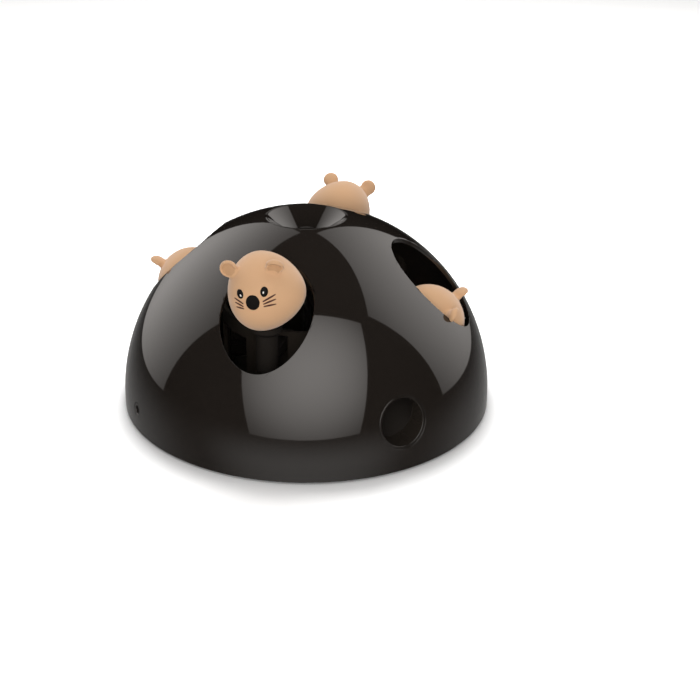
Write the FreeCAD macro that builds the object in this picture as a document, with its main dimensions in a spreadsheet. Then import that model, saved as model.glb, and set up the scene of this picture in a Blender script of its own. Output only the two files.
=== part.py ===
import FreeCAD, Part
import math
import os

import Sketcher
from FreeCAD import Placement, Rotation, Vector

# A cat toy with four mice that pop up through holes in a glossy dome. A motor turns a face cam in
# the middle, four plungers ride on it, and a feed disc on the same shaft drops one treat a turn
# into a chute. Millimetres, +Z up, the treat outlet faces -Y and the floor is z = 0.

SIZES = [
    ("dome_radius", 120.0, "outside radius of the dome"),
    ("shell_wall", 2.5, "wall of the dome"),
    ("floor_gap", 1.2, "height of the dome's edge above the floor"),
    ("skirt_height", 3.6, "straight skirt below the round of the dome"),
    ("mouse_circle", 80.7, "radius of the circle on which the mice stand"),
    ("hole_half_depth", 25.05, "half of a mouse hole along the dome's radius"),
    ("hole_half_width", 27.4, "half of a mouse hole across the dome's radius"),
    ("seam_gap", 0.15, "gap between parts that drop into each other"),
    ("funnel_radius", 25.7, "rim of the treat funnel"),
    ("funnel_lip", 3.0, "thickness of the funnel's rim"),
    ("funnel_edge", 0.6, "chamfer round the top of that rim"),
    ("funnel_ledge", 1.6, "width of the ledge that carries the rim"),
    ("funnel_seat", 2.4, "thickness of that ledge"),
    ("funnel_wall", 1.8, "wall of the funnel"),
    ("funnel_throat", 12.0, "radius of the funnel's spout"),
    ("funnel_fall", 11.3, "rim to the foot of the funnel's cone"),
    ("funnel_depth", 19.0, "rim to the end of the spout"),
    ("hopper_radius", 32.0, "inside radius of the feed chamber"),
    ("hopper_wall", 2.0, "wall of the feed chamber"),
    ("hopper_depth", 20.0, "underside of the feed chamber's floor below its flange"),
    ("flange_radius", 45.0, "radius of the feed chamber's flange"),
    ("flange_drop", 16.0, "underside of that flange below the funnel's rim"),
    ("shelf_drop", 7.0, "underside of the shelf over the drop hole below the flange"),
    ("drop_radius", 10.2, "radius of the drop hole"),
    ("drop_circle", 20.8, "distance of the drop hole from the shaft"),
    ("outlet_height", 30.5, "middle of the treat outlet above the floor"),
    ("outlet_bore", 14.0, "inside radius of the outlet collar"),
    ("outlet_wall", 1.5, "wall of the outlet collar"),
    ("outlet_recess", 0.4, "front of the collar below the dome's surface"),
    ("outlet_depth", 15.0, "collar's inner end in from the dome's radius"),
    ("chute_half_width", 13.5, "half of the chute's inside width"),
    ("chute_height", 24.0, "inside height of the chute, measured upright"),
    ("chute_wall", 1.8, "wall of the chute, measured upright"),
    ("chute_head", 8.3, "distance from the axis where the chute's floor meets the chamber's"),
    ("base_height", 2.0, "underside of the base plate above the floor"),
    ("base_wall", 2.5, "thickness of the base plate"),
    ("base_rim", 4.5, "height of the rim on the base plate"),
    ("foot_radius", 7.0, "radius of a rubber foot"),
    ("foot_inset", 18.0, "middle of a foot in from the dome's radius"),
    ("foot_recess", 0.5, "depth of the recess that holds a foot"),
    ("raised_front", 102.7, "head height of the front left mouse, at the cam's high lobe"),
    ("lowered_right", 62.2, "head height of the front right mouse, in the cam's deep valley"),
    ("raised_back", 98.7, "head height of the rear right mouse, at the cam's low lobe"),
    ("lowered_left", 69.2, "head height of the rear left mouse, in the cam's shallow valley"),
    ("head_radius", 23.2, "half of a head's height and depth"),
    ("head_long", 25.3, "widest section to the pointed end of a head"),
    ("head_short", 18.3, "widest section to the blunt end of a head"),
    ("head_offset", 3.5, "widest section to the plunger's axis"),
    ("head_wall", 2.0, "wall of a hollow head"),
    ("head_seat", 21.5, "middle of a head down to the flat that it stands on"),
    ("head_turn", -2.4, "turn of a head about its plunger in degrees"),
    ("head_roll", 8.8, "sideways tilt of a head in degrees"),
    ("ear_radius", 5.2, "radius of an ear"),
    ("ear_half_thickness", 2.5, "half of an ear's thickness"),
    ("ear_forward", 13.5, "ears in front of the middle of a head"),
    ("left_ear_side", 16.3, "left ear to the left of the widest section"),
    ("left_ear_up", 17.8, "left ear above the middle of a head"),
    ("right_ear_side", 9.9, "right ear to the right of the widest section"),
    ("right_ear_up", 16.8, "right ear above the middle of a head"),
    ("nose_half_width", 5.2, "half width of the nose bead"),
    ("nose_half_height", 5.9, "half height of the nose bead"),
    ("nose_sink", 4.0, "middle of the nose bead below the head's surface"),
    ("eye_half_width", 2.35, "half width of an eye bead"),
    ("eye_half_height", 3.1, "half height of an eye bead"),
    ("eye_sink", 1.2, "middle of an eye bead below the head's surface"),
    ("inset_depth", 1.2, "depth of the recesses for the eyes and the nose"),
    ("rod_radius", 3.0, "radius of the steel rods that guide the plungers"),
    ("rod_top", 71.0, "top of the steel rods"),
    ("slide_gap", 0.08, "gap around a rod or a shaft that something turns or slides on"),
    ("barrel_radius", 6.5, "outside radius of a plunger's barrel"),
    ("barrel_top", 10.0, "top of the barrel above the middle of the head"),
    ("shoulder_radius", 9.0, "radius of the shoulder that a head stands on"),
    ("shoulder_height", 3.0, "thickness of that shoulder"),
    ("finger_radius", 4.0, "radius of the finger that rides on the cam"),
    ("finger_drop", 45.5, "middle of a head down to the middle of its finger"),
    ("finger_depth", 5.0, "height of the finger above its middle"),
    ("finger_reach", 39.2, "plunger's axis to the tip of its finger"),
    ("boss_top", 12.0, "top of the bosses that hold the rods"),
    ("boss_radius", 6.0, "radius of those bosses"),
    ("cam_inner", 42.5, "inside radius of the cam's ring"),
    ("cam_outer", 47.5, "outside radius of the cam's ring"),
    ("cam_gap", 0.15, "gap between a finger and the cam"),
    ("cam_web", 2.0, "thickness of the cam's floor"),
    ("hub_radius", 9.5, "radius of the cam's hub"),
    ("hub_height", 14.5, "height of the hub above the cam's floor"),
    ("shaft_radius", 3.0, "radius of the cam shaft"),
    ("gear_height", 5.5, "underside of the drive gear above the floor"),
    ("gear_thickness", 4.0, "thickness of the drive gear"),
    ("gear_module", 1.0, "module of the gears"),
    ("backlash", 0.12, "added distance between the gear axes"),
    ("disc_height", 10.0, "thickness of the feed disc"),
    ("disc_lift", 0.3, "gap under the feed disc"),
    ("bush_radius", 5.0, "radius of the bush in the feed chamber's floor"),
    ("drive_shaft_radius", 1.5, "radius of the gearbox shaft"),
    ("gearbox_height", 13.0, "underside of the gearbox above the floor"),
    ("gearbox_depth", 18.0, "height of the gearbox"),
    ("gearbox_half_width", 10.0, "half width of the gearbox"),
    ("gearbox_length", 26.0, "length of the gearbox"),
    ("motor_radius", 10.0, "radius of the motor"),
    ("motor_length", 25.0, "length of the motor"),
    ("cage_inner", 52.0, "inside radius of the guide cage"),
    ("cage_wall", 2.5, "wall of the guide cage"),
    ("cage_top", 66.0, "top of the guide cage"),
    ("cage_window", 56.0, "top of the cage's windows"),
    ("cage_sill", 12.0, "bottom of the cage's windows"),
    ("slot_gap", 0.2, "gap each side of a finger in its slot"),
    ("post_radius", 4.5, "radius of the dome's screw posts"),
    ("post_inset", 15.5, "middle of those posts in from the dome's wall"),
    ("screw_radius", 1.5, "radius of the case screws"),
    ("screw_head", 3.0, "radius of the case screws' heads"),
    ("cell_radius", 7.25, "radius of a battery cell"),
    ("cell_length", 50.5, "length of a battery cell"),
    ("bay_wall", 1.5, "wall of the battery bay"),
    ("bay_start", 59.5, "distance of the bay's inside from the axis"),
    ("bay_slack", 2.5, "room for the contacts at each end of the cells"),
    ("door_thickness", 1.8, "thickness of the battery door"),
    ("board_height", 9.0, "underside of the circuit board above the floor"),
    ("board_thickness", 1.6, "thickness of the circuit board"),
    ("board_half_width", 20.0, "half width of the circuit board"),
    ("board_start", 62.0, "distance of the board's inner edge from the axis"),
    ("board_length", 48.0, "length of the circuit board"),
    ("jack_height", 15.1, "middle of the power socket above the floor"),
    ("jack_nose", 4.5, "radius of the power socket's round nose"),
    ("jack_bore", 2.05, "radius of the power socket's bore"),
    ("jack_depth", 10.0, "depth of that bore"),
    ("jack_recess", 0.6, "nose of the power socket below the dome's surface"),
    ("jack_body", 14.0, "length of the power socket's body"),
    ("switch_travel", 4.0, "travel of the power switch"),
    ("switch_place", 80.0, "distance of the power switch from the axis"),
]

GEAR_TEETH = 96
PINION_TEETH = 16
MICE = {
    "front_left": (-45.0, "raised_front"),
    "front_right": (45.0, "lowered_right"),
    "rear_right": (135.0, "raised_back"),
    "rear_left": (225.0, "lowered_left"),
}
HALF_ROUND = "half round"
POST_ANGLES = (70.0, 110.0, 250.0, 290.0)
BOSS_ANGLES = (0.0, 90.0, 180.0, 270.0)


class Size:
    """A length or angle that keeps its value beside its formula in the sheet."""

    def __init__(self, value, formula):
        self.value = float(value)
        self.formula = formula

    def __add__(self, other):
        return joined(self, "+", other)

    def __radd__(self, other):
        return joined(other, "+", self)

    def __sub__(self, other):
        return joined(self, "-", other)

    def __rsub__(self, other):
        return joined(other, "-", self)

    def __mul__(self, other):
        return joined(self, "*", other)

    def __rmul__(self, other):
        return joined(other, "*", self)

    def __truediv__(self, other):
        return joined(self, "/", other)

    def __neg__(self):
        return joined(0, "-", self)


def sized(value):
    """A plain number as a Size."""
    if isinstance(value, Size):
        return value
    return Size(value, f"({float(value)!r})")


def joined(left, sign, right):
    """Two sizes joined by one arithmetic sign."""
    left, right = sized(left), sized(right)
    results = {
        "+": lambda: left.value + right.value,
        "-": lambda: left.value - right.value,
        "*": lambda: left.value * right.value,
        "/": lambda: left.value / right.value,
    }
    return Size(results[sign](), f"({left.formula} {sign} {right.formula})")


def sine(angle):
    angle = sized(angle)
    return Size(math.sin(math.radians(angle.value)), f"sin({angle.formula})")


def cosine(angle):
    angle = sized(angle)
    return Size(math.cos(math.radians(angle.value)), f"cos({angle.formula})")


def root(value):
    value = sized(value)
    return Size(math.sqrt(value.value), f"sqrt({value.formula})")


def around(circle, angle):
    """The x and y of a point on a circle; the angle runs from -Y towards +X."""
    return circle * sine(angle), -(circle * cosine(angle))


doc = FreeCAD.newDocument("mouse_chase_toy")
sheet = doc.addObject("Spreadsheet::Sheet", "Sizes")
for row, (name, value, note) in enumerate(SIZES, 1):
    sheet.set(f"A{row}", name)
    sheet.set(f"B{row}", str(value))
    sheet.set(f"C{row}", note)
    sheet.setAlias(f"B{row}", name)
doc.recompute()


class Sheet:
    """The sheet's cells by name, as sizes."""

    def __getattr__(self, name):
        return Size(getattr(sheet, name), f"Sizes.{name}")


S = Sheet()
subparts = []


def keep(shape_object, name):
    """Gives a sub-part the label that names its file."""
    shape_object.Label = name
    subparts.append(shape_object)
    return shape_object


def bind(target, path, size):
    """Sets one property from a size, by its formula."""
    target.setExpression(path, sized(size).formula)


def bind_place(target, x=0, y=0, z=0, turn=0):
    """Places an object, turned about Z by an angle in degrees."""
    x, y, z, turn = sized(x), sized(y), sized(z), sized(turn)
    rotation = Rotation(Vector(0, 0, 1), turn.value)
    target.Placement = Placement(Vector(x.value, y.value, z.value), rotation)
    for axis, size in zip("xyz", (x, y, z)):
        bind(target, f"Placement.Base.{axis}", size)
    if turn.value:
        bind(target, "Placement.Rotation.Angle", turn)


def lay_along(target, along):
    """Turns a solid that was made along Z to lie along X or Y."""
    turns = {
        "X": Rotation(Vector(0, 1, 0), 90),
        "Y": Rotation(Vector(1, 0, 0), -90),
        "Z": Rotation(),
    }
    target.Placement = Placement(target.Placement.Base, turns[along])


def cylinder(name, radius, height, at=(0, 0, 0), along="Z"):
    """A cylinder from its first end's middle."""
    made = doc.addObject("Part::Cylinder", name)
    bind(made, "Radius", radius)
    bind(made, "Height", height)
    bind_place(made, *at)
    lay_along(made, along)
    return made


def block(name, low, size):
    """A box from its lowest corner."""
    made = doc.addObject("Part::Box", name)
    for side, length in zip(("Length", "Width", "Height"), size):
        bind(made, side, length)
    bind_place(made, *low)
    return made


def ball(name, radius, z):
    """A sphere on the toy's axis."""
    made = doc.addObject("Part::Sphere", name)
    bind(made, "Radius", radius)
    bind_place(made, 0, 0, z)
    return made


def fused(name, *shapes):
    made = doc.addObject("Part::MultiFuse", name)
    made.Shapes = list(shapes)
    return made


def common(name, *shapes):
    made = doc.addObject("Part::MultiCommon", name)
    made.Shapes = list(shapes)
    return made


def cut(name, base, *tools):
    made = doc.addObject("Part::Cut", name)
    made.Base = base
    made.Tool = tools[0] if len(tools) == 1 else fused(f"{name}_tools", *tools)
    return made


def feature(name, shape):
    """An object for a shape that neither a primitive nor a sketch makes."""
    made = doc.addObject("Part::Feature", name)
    made.Shape = shape
    return made


def group(name, *shapes):
    """Identical separate solids that share one node."""
    made = doc.addObject("Part::Compound", name)
    made.Links = list(shapes)
    return keep(made, name)


def sketch_on(body, plane, name, lift=0):
    """A sketch on one of a body's own origin planes, lifted along the plane's normal."""
    made = body.newObject("Sketcher::SketchObject", name)
    support = [item for item in body.Origin.OriginFeatures if item.Role == plane][0]
    lift = sized(lift)
    made.AttachmentSupport = (support, [""])
    made.MapMode = "FlatFace"
    made.AttachmentOffset = Placement(Vector(0, 0, lift.value), Rotation())
    bind(made, "AttachmentOffset.Base.z", lift)
    return made


def fix_point(sketch, segment, end, point):
    """Dimensions one end of a segment from the sketch's origin."""
    for direction, size in zip(("DistanceX", "DistanceY"), point):
        size = sized(size)
        rule = Sketcher.Constraint(direction, -1, 1, segment, end, size.value)
        number = sketch.addConstraint(rule)
        bind(sketch, f"Constraints[{number}]", size)


def fix_height(sketch, arc, height):
    """Holds the middle of an arc at a height in the sketch."""
    height = sized(height)
    number = sketch.addConstraint(Sketcher.Constraint("DistanceY", -1, 1, arc, 3, height.value))
    bind(sketch, f"Constraints[{number}]", height)


def arc_between(start, end, radius):
    """The arc between two points; a positive radius keeps its centre on the left."""
    middle = (start + end) * 0.5
    chord = end - start
    rise = math.sqrt(max(radius * radius - chord.Length ** 2 / 4, 0.0))
    side = Vector(-chord.y, chord.x, 0).normalize()
    centre = middle + side * math.copysign(rise, radius)
    first, last = (start, end) if radius > 0 else (end, start)
    angles = [math.atan2(point.y - centre.y, point.x - centre.x) for point in (first, last)]
    circle = Part.Circle(centre, Vector(0, 0, 1), abs(radius))
    return Part.ArcOfCircle(circle, *angles)


def outline(sketch, points, bends=None):
    """A closed outline; bends gives the radius of each side that is an arc."""
    bends = bends or {}
    offset = sketch.GeometryCount
    corners = [Vector(sized(x).value, sized(y).value, 0) for x, y in points]
    count = len(points)
    ends = []
    for index, corner in enumerate(corners):
        following = corners[(index + 1) % count]
        if index in bends:
            half_chord = (following - corner).Length / 2
            radius = half_chord if bends[index] is HALF_ROUND else sized(bends[index]).value
            sketch.addGeometry(arc_between(corner, following, radius))
            ends.append((1, 2) if radius > 0 else (2, 1))
        else:
            sketch.addGeometry(Part.LineSegment(corner, following))
            ends.append((1, 2))
    for index in range(count):
        following = (index + 1) % count
        rule = Sketcher.Constraint(
            "Coincident", offset + index, ends[index][1], offset + following, ends[following][0]
        )
        sketch.addConstraint(rule)
        fix_point(sketch, offset + index, ends[index][0], points[index])
    for index, radius in bends.items():
        if radius is HALF_ROUND:
            fix_height(sketch, offset + index, points[index][1])
            continue
        rule = Sketcher.Constraint("Radius", offset + index, abs(sized(radius).value))
        number = sketch.addConstraint(rule)
        bind(sketch, f"Constraints[{number}]", radius if sized(radius).value > 0 else -radius)


def disc(sketch, radius, x=0, y=0):
    """A circle in a sketch."""
    radius = sized(radius)
    centre = Vector(sized(x).value, sized(y).value, 0)
    number = sketch.addGeometry(Part.Circle(centre, Vector(0, 0, 1), radius.value))
    fix_point(sketch, number, 3, (x, y))
    rule = sketch.addConstraint(Sketcher.Constraint("Radius", number, radius.value))
    bind(sketch, f"Constraints[{rule}]", radius)


def rectangle(sketch, low, high):
    """An upright rectangle in a sketch."""
    outline(sketch, [low, (high[0], low[1]), high, (low[0], high[1])])


def pad(body, sketch, length):
    """Grows a solid along the sketch's normal."""
    made = body.newObject("PartDesign::Pad", f"{sketch.Name}_pad")
    made.Profile = (sketch, [""])
    bind(made, "Length", length)
    body.Tip = made
    return made


def pocket(body, sketch, length, upward=False):
    """Cuts against the sketch's normal, or along it when upward."""
    made = body.newObject("PartDesign::Pocket", f"{sketch.Name}_pocket")
    made.Profile = (sketch, [""])
    made.Reversed = upward
    bind(made, "Length", length)
    body.Tip = made
    return made


def revolve(body, sketch):
    """Turns a profile about the sketch's upright axis."""
    made = body.newObject("PartDesign::Revolution", f"{sketch.Name}_turned")
    made.Profile = (sketch, [""])
    made.ReferenceAxis = (sketch, ["V_Axis"])
    made.Angle = 360.0
    body.Tip = made
    return made


def ring_of_four(body, made):
    """Repeats a feature four times about the body's Z axis."""
    axis = [item for item in body.Origin.OriginFeatures if item.Role == "Z_Axis"][0]
    pattern = body.newObject("PartDesign::PolarPattern", f"{made.Name}_four")
    pattern.Originals = [made]
    pattern.Axis = (axis, [""])
    pattern.Angle = 360.0
    pattern.Occurrences = 4
    body.Tip = pattern
    return pattern


def new_body(name):
    return keep(doc.addObject("PartDesign::Body", name), name)


def turned_body(name, points, bends=None):
    """A body that is one profile turned about Z."""
    body = new_body(name)
    profile = sketch_on(body, "XZ_Plane", f"{name}_profile")
    outline(profile, points, bends)
    revolve(body, profile)
    return body


dome_centre = S.floor_gap + S.skirt_height
inner_radius = S.dome_radius - S.shell_wall
base_top = S.base_height + S.base_wall
rim_height = dome_centre + root(S.dome_radius * S.dome_radius - S.funnel_radius * S.funnel_radius)
ledge_height = rim_height - S.funnel_lip
spout_end = rim_height - S.funnel_depth
flange_height = rim_height - S.flange_drop
flange_top = flange_height + S.hopper_wall
hopper_floor = flange_height - S.hopper_depth
floor_top = hopper_floor + S.hopper_wall
outlet_seat = S.dome_radius - S.outlet_depth
outlet_floor = S.outlet_height - S.chute_half_width
chute_rise = (hopper_floor - outlet_floor) / (outlet_seat - S.chute_head)
foot_circle = S.dome_radius - S.foot_inset
post_circle = inner_radius - S.post_inset
web_bottom = S.gear_height + S.gear_thickness
web_top = web_bottom + S.cam_web
boss_circle = (S.flange_radius + S.hopper_radius + S.hopper_wall) / 2


def dome_solid(name, radius, bottom):
    """The dome's form: a straight skirt under half a ball."""
    skirt = cylinder(f"{name}_skirt", radius, dome_centre - bottom, (0, 0, bottom))
    crown = ball(f"{name}_crown", radius, dome_centre)
    crown.Angle1 = 0.0
    return fused(name, skirt, crown)


def mouse_hole(name, angle):
    """The upright oval cut that one mouse comes through, longest across the dome's radius."""
    x, y = around(S.mouse_circle, angle)
    wide, deep = S.hole_half_width.value, S.hole_half_depth.value
    oval = Part.Ellipse(Vector(), max(wide, deep), min(wide, deep)).toShape()
    if wide > deep:
        oval.rotate(Vector(), Vector(0, 0, 1), 90)
    tool = Part.Face(Part.Wire([oval])).extrude(Vector(0, 0, S.dome_radius.value))
    made = feature(name, tool)
    bind_place(made, x, y, S.mouse_circle / 4, angle - 90)
    return made


def dome_shell():
    """The dome with its screw posts, bosses and funnel ledge, all standing in from the wall."""
    cavity = dome_solid("dome_cavity", inner_radius, S.floor_gap)
    height = S.dome_radius
    kept = [cylinder("funnel_collar", S.funnel_radius + S.funnel_seat * 2, height,
                     (0, 0, ledge_height - S.funnel_seat))]
    holes = []
    for number, angle in enumerate(POST_ANGLES):
        x, y = around(post_circle, angle)
        kept.append(cylinder(f"dome_post_{number}", S.post_radius, height, (x, y, post_foot)))
        depth = S.post_radius * 3
        holes.append(cylinder(f"post_hole_{number}", S.screw_radius, depth, (x, y, post_foot)))
    for number, angle in enumerate(BOSS_ANGLES):
        x, y = around(boss_circle, angle)
        kept.append(cylinder(f"top_boss_{number}", S.post_radius, height, (x, y, flange_top)))
        depth = S.post_radius * 1.5
        holes.append(cylinder(f"boss_hole_{number}", S.screw_radius, depth, (x, y, flange_top)))
    hollow = cut("dome_hollow", cavity, *kept)
    solid = cut("dome_wall", dome_solid("dome_form", S.dome_radius, S.floor_gap), hollow)
    holes += [mouse_hole(f"{name}_hole", angle) for name, (angle, _) in MICE.items()]
    holes.append(cylinder("rim_hole", S.funnel_radius, height, (0, 0, ledge_height)))
    holes.append(cylinder("ledge_hole", S.funnel_radius - S.funnel_ledge, height,
                          (0, 0, ledge_height - S.funnel_seat - 1)))
    reach = S.dome_radius * 0.75
    holes.append(cylinder("outlet_hole", S.outlet_bore + S.outlet_wall + S.seam_gap, reach,
                          (0, -S.dome_radius * 1.5, S.outlet_height), "Y"))
    holes.append(cylinder("jack_hole", S.jack_nose + S.seam_gap, reach,
                          (-S.dome_radius * 1.5, 0, S.jack_height), "X"))
    return keep(cut("dome_shell", solid, *holes), "dome_shell")


def funnel():
    """The treat funnel: a lip on the dome's ledge, a cone and a short straight spout."""
    lip = S.funnel_radius - S.seam_gap
    throat = S.funnel_throat
    cone_foot = rim_height - S.funnel_fall
    neck = S.funnel_radius - S.funnel_ledge - S.seam_gap
    points = [
        (throat, spout_end),
        (throat + S.funnel_wall, spout_end),
        (throat + S.funnel_wall, cone_foot - S.funnel_wall / 2),
        (neck, ledge_height - S.seam_gap),
        (neck, ledge_height),
        (lip, ledge_height),
        (lip, rim_height - S.funnel_edge),
        (lip - S.funnel_edge, rim_height),
        (throat, cone_foot),
    ]
    return turned_body("treat_funnel", points)


def hopper():
    """The feed chamber under the funnel, hung by its flange from the dome's bosses."""
    inside = S.hopper_radius
    outside = inside + S.hopper_wall
    points = [
        (S.bush_radius, hopper_floor),
        (outside, hopper_floor),
        (outside, flange_height),
        (S.flange_radius, flange_height),
        (S.flange_radius, flange_top),
        (inside, flange_top),
        (inside, floor_top),
        (S.bush_radius, floor_top),
    ]
    body = turned_body("feed_hopper", points)
    tongue = sketch_on(body, "XY_Plane", "hopper_tongue", hopper_floor)
    half = S.chute_half_width + S.chute_wall
    rectangle(tongue, (-half, -tongue_end), (half, -inside))
    pad(body, tongue, S.hopper_wall)
    shelf = sketch_on(body, "XY_Plane", "hopper_shelf", flange_height - S.shelf_drop)
    rectangle(shelf, (-(S.drop_radius + 1), -(inside + 1)), (S.drop_radius + 1, -S.hub_radius))
    pad(body, shelf, S.hopper_wall)
    drop = sketch_on(body, "XY_Plane", "hopper_drop", floor_top)
    disc(drop, S.drop_radius, 0, -S.drop_circle)
    pocket(body, drop, S.hopper_wall)
    screws = sketch_on(body, "XY_Plane", "hopper_screw_hole", flange_top)
    disc(screws, S.screw_radius, boss_circle, 0)
    ring_of_four(body, pocket(body, screws, S.hopper_wall))
    return body


def chute():
    """The covered channel from the drop hole down to the outlet, round at the bottom."""
    body = new_body("treat_chute")
    section = sketch_on(body, "XZ_Plane", "chute_section", outlet_seat)
    inner, wall = S.chute_half_width, S.chute_wall
    middle = outlet_floor + inner
    for half, floor_drop in ((inner + wall, wall), (inner, sized(0))):
        top = outlet_floor + S.chute_height + floor_drop
        corners = [(-half, middle), (half, middle), (half, top), (-half, top)]
        outline(section, corners, {0: HALF_ROUND})
    tube = pad(body, section, chute_run)
    tube.UseCustomVector = True
    tube.Direction = Vector(0, 1, chute_rise.value)
    bind(tube, "Direction.z", chute_rise)
    top_cut = sketch_on(body, "XY_Plane", "chute_top", hopper_floor)
    far = S.dome_radius
    rectangle(top_cut, (-far, -far), (far, far))
    pocket(body, top_cut, S.dome_radius, upward=True)
    return body


def outlet_collar():
    """The collar in the outlet: a straight tube whose front follows the dome."""
    seat = outlet_seat
    reach = S.dome_radius * 1.1 - seat
    at = (0, -S.dome_radius * 1.1, S.outlet_height)
    tube = common("outlet_tube",
                  cylinder("outlet_blank", S.outlet_bore + S.outlet_wall, reach, at, "Y"),
                  ball("outlet_face", S.dome_radius - S.outlet_recess, dome_centre))
    bore = cylinder("outlet_hollow", S.outlet_bore, reach, at, "Y")
    return keep(cut("outlet_collar", tube, bore), "outlet_collar")


def polar_cylinders(name, radius, height, circle, angles, z):
    """Equal cylinders on a circle."""
    made = []
    for number, angle in enumerate(angles):
        x, y = around(circle, angle)
        made.append(cylinder(f"{name}_{number}", radius, height, (x, y, z)))
    return made


def base_plate():
    """The base: rod bosses, shaft bearing, battery bay, screw cups and feet recesses."""
    body = new_body("base_plate")
    plate = sketch_on(body, "XY_Plane", "plate_round", S.base_height)
    rim = inner_radius - S.seam_gap * 2
    disc(plate, rim)
    pad(body, plate, S.base_wall)
    wall = sketch_on(body, "XY_Plane", "plate_rim", base_top)
    disc(wall, rim)
    disc(wall, rim - S.shell_wall)
    pad(body, wall, S.base_rim)
    diagonal = S.mouse_circle * cosine(45)
    rod_boss = sketch_on(body, "XY_Plane", "rod_boss", base_top)
    disc(rod_boss, S.boss_radius, diagonal, diagonal)
    ring_of_four(body, pad(body, rod_boss, S.boss_top - base_top))
    rod_hole = sketch_on(body, "XY_Plane", "rod_hole", S.boss_top)
    disc(rod_hole, S.rod_radius, diagonal, diagonal)
    ring_of_four(body, pocket(body, rod_hole, S.boss_top - rod_foot))
    bearing = sketch_on(body, "XY_Plane", "shaft_bearing", base_top)
    disc(bearing, bearing_radius)
    pad(body, bearing, bearing_top - base_top)
    bearing_hole = sketch_on(body, "XY_Plane", "shaft_hole", bearing_top)
    disc(bearing_hole, S.shaft_radius + S.slide_gap)
    pocket(body, bearing_hole, bearing_top - shaft_foot)
    bay = sketch_on(body, "XY_Plane", "bay_outside", base_top)
    around_bay = S.bay_wall
    rectangle(bay, (-(bay_half + around_bay), S.bay_start - around_bay),
              (bay_half + around_bay, bay_end + around_bay))
    pad(body, bay, bay_top + around_bay - base_top)
    door_seat = sketch_on(body, "XY_Plane", "door_seat", S.base_height)
    rectangle(door_seat, (-door_half, door_start), (door_half, door_end))
    pocket(body, door_seat, S.door_thickness, upward=True)
    hollow = sketch_on(body, "XY_Plane", "bay_inside", S.base_height)
    rectangle(hollow, (-bay_half, S.bay_start), (bay_half, bay_end))
    pocket(body, hollow, bay_top - S.base_height, upward=True)
    for angle in POST_ANGLES:
        x, y = around(post_circle, angle)
        word = f"{angle:.0f}"
        cup = sketch_on(body, "XY_Plane", f"cup_{word}", base_top)
        disc(cup, S.post_radius + 1, x, y)
        pad(body, cup, post_foot - base_top)
        sink = sketch_on(body, "XY_Plane", f"cup_sink_{word}", S.base_height)
        disc(sink, S.screw_head + S.seam_gap, x, y)
        pocket(body, sink, cup_depth, upward=True)
        through = sketch_on(body, "XY_Plane", f"cup_hole_{word}", S.base_height)
        disc(through, S.screw_radius + S.seam_gap, x, y)
        pocket(body, through, post_foot - S.base_height, upward=True)
    lug = sketch_on(body, "XY_Plane", "cage_boss", base_top)
    disc(lug, S.screw_head + 0.4, *around(lug_circle, lug_angle))
    ring_of_four(body, pad(body, lug, lug_foot - base_top))
    lug_hole = sketch_on(body, "XY_Plane", "cage_boss_hole", lug_foot)
    disc(lug_hole, S.screw_radius, *around(lug_circle, lug_angle))
    ring_of_four(body, pocket(body, lug_hole, lug_foot - rod_foot))
    foot = sketch_on(body, "XY_Plane", "foot_recess", S.base_height)
    foot_diagonal = foot_circle * cosine(45)
    disc(foot, S.foot_radius + S.seam_gap, foot_diagonal, foot_diagonal)
    ring_of_four(body, pocket(body, foot, S.foot_recess, upward=True))
    slot = sketch_on(body, "XY_Plane", "switch_slot", S.base_height)
    half = S.switch_travel / 2 + knob_half_length + S.slot_gap
    rectangle(slot, (-(S.switch_place + knob_half_width + S.slot_gap), -half),
              (-(S.switch_place - knob_half_width - S.slot_gap), half))
    pocket(body, slot, S.base_wall, upward=True)
    for side, y in (("left", -pillar_y), ("right", pillar_y)):
        pillar = sketch_on(body, "XY_Plane", f"gearbox_pillar_{side}", base_top)
        disc(pillar, pillar_radius, pillar_x, y)
        pad(body, pillar, S.gearbox_height - base_top)
        for end, x in (("inner", board_boss_in), ("outer", board_boss_out)):
            boss = sketch_on(body, "XY_Plane", f"board_boss_{side}_{end}", base_top)
            disc(boss, board_boss_radius, -x, y * board_boss_y / pillar_y)
            pad(body, boss, S.board_height - base_top)
    saddle = sketch_on(body, "XY_Plane", "motor_saddle", base_top)
    rectangle(saddle, (saddle_start, -saddle_half), (saddle_start + saddle_length, saddle_half))
    pad(body, saddle, motor_height - base_top)
    bed = sketch_on(body, "YZ_Plane", "motor_bed", saddle_start + saddle_length)
    disc(bed, S.motor_radius, 0, motor_height)
    pocket(body, bed, saddle_length)
    return body


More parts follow.
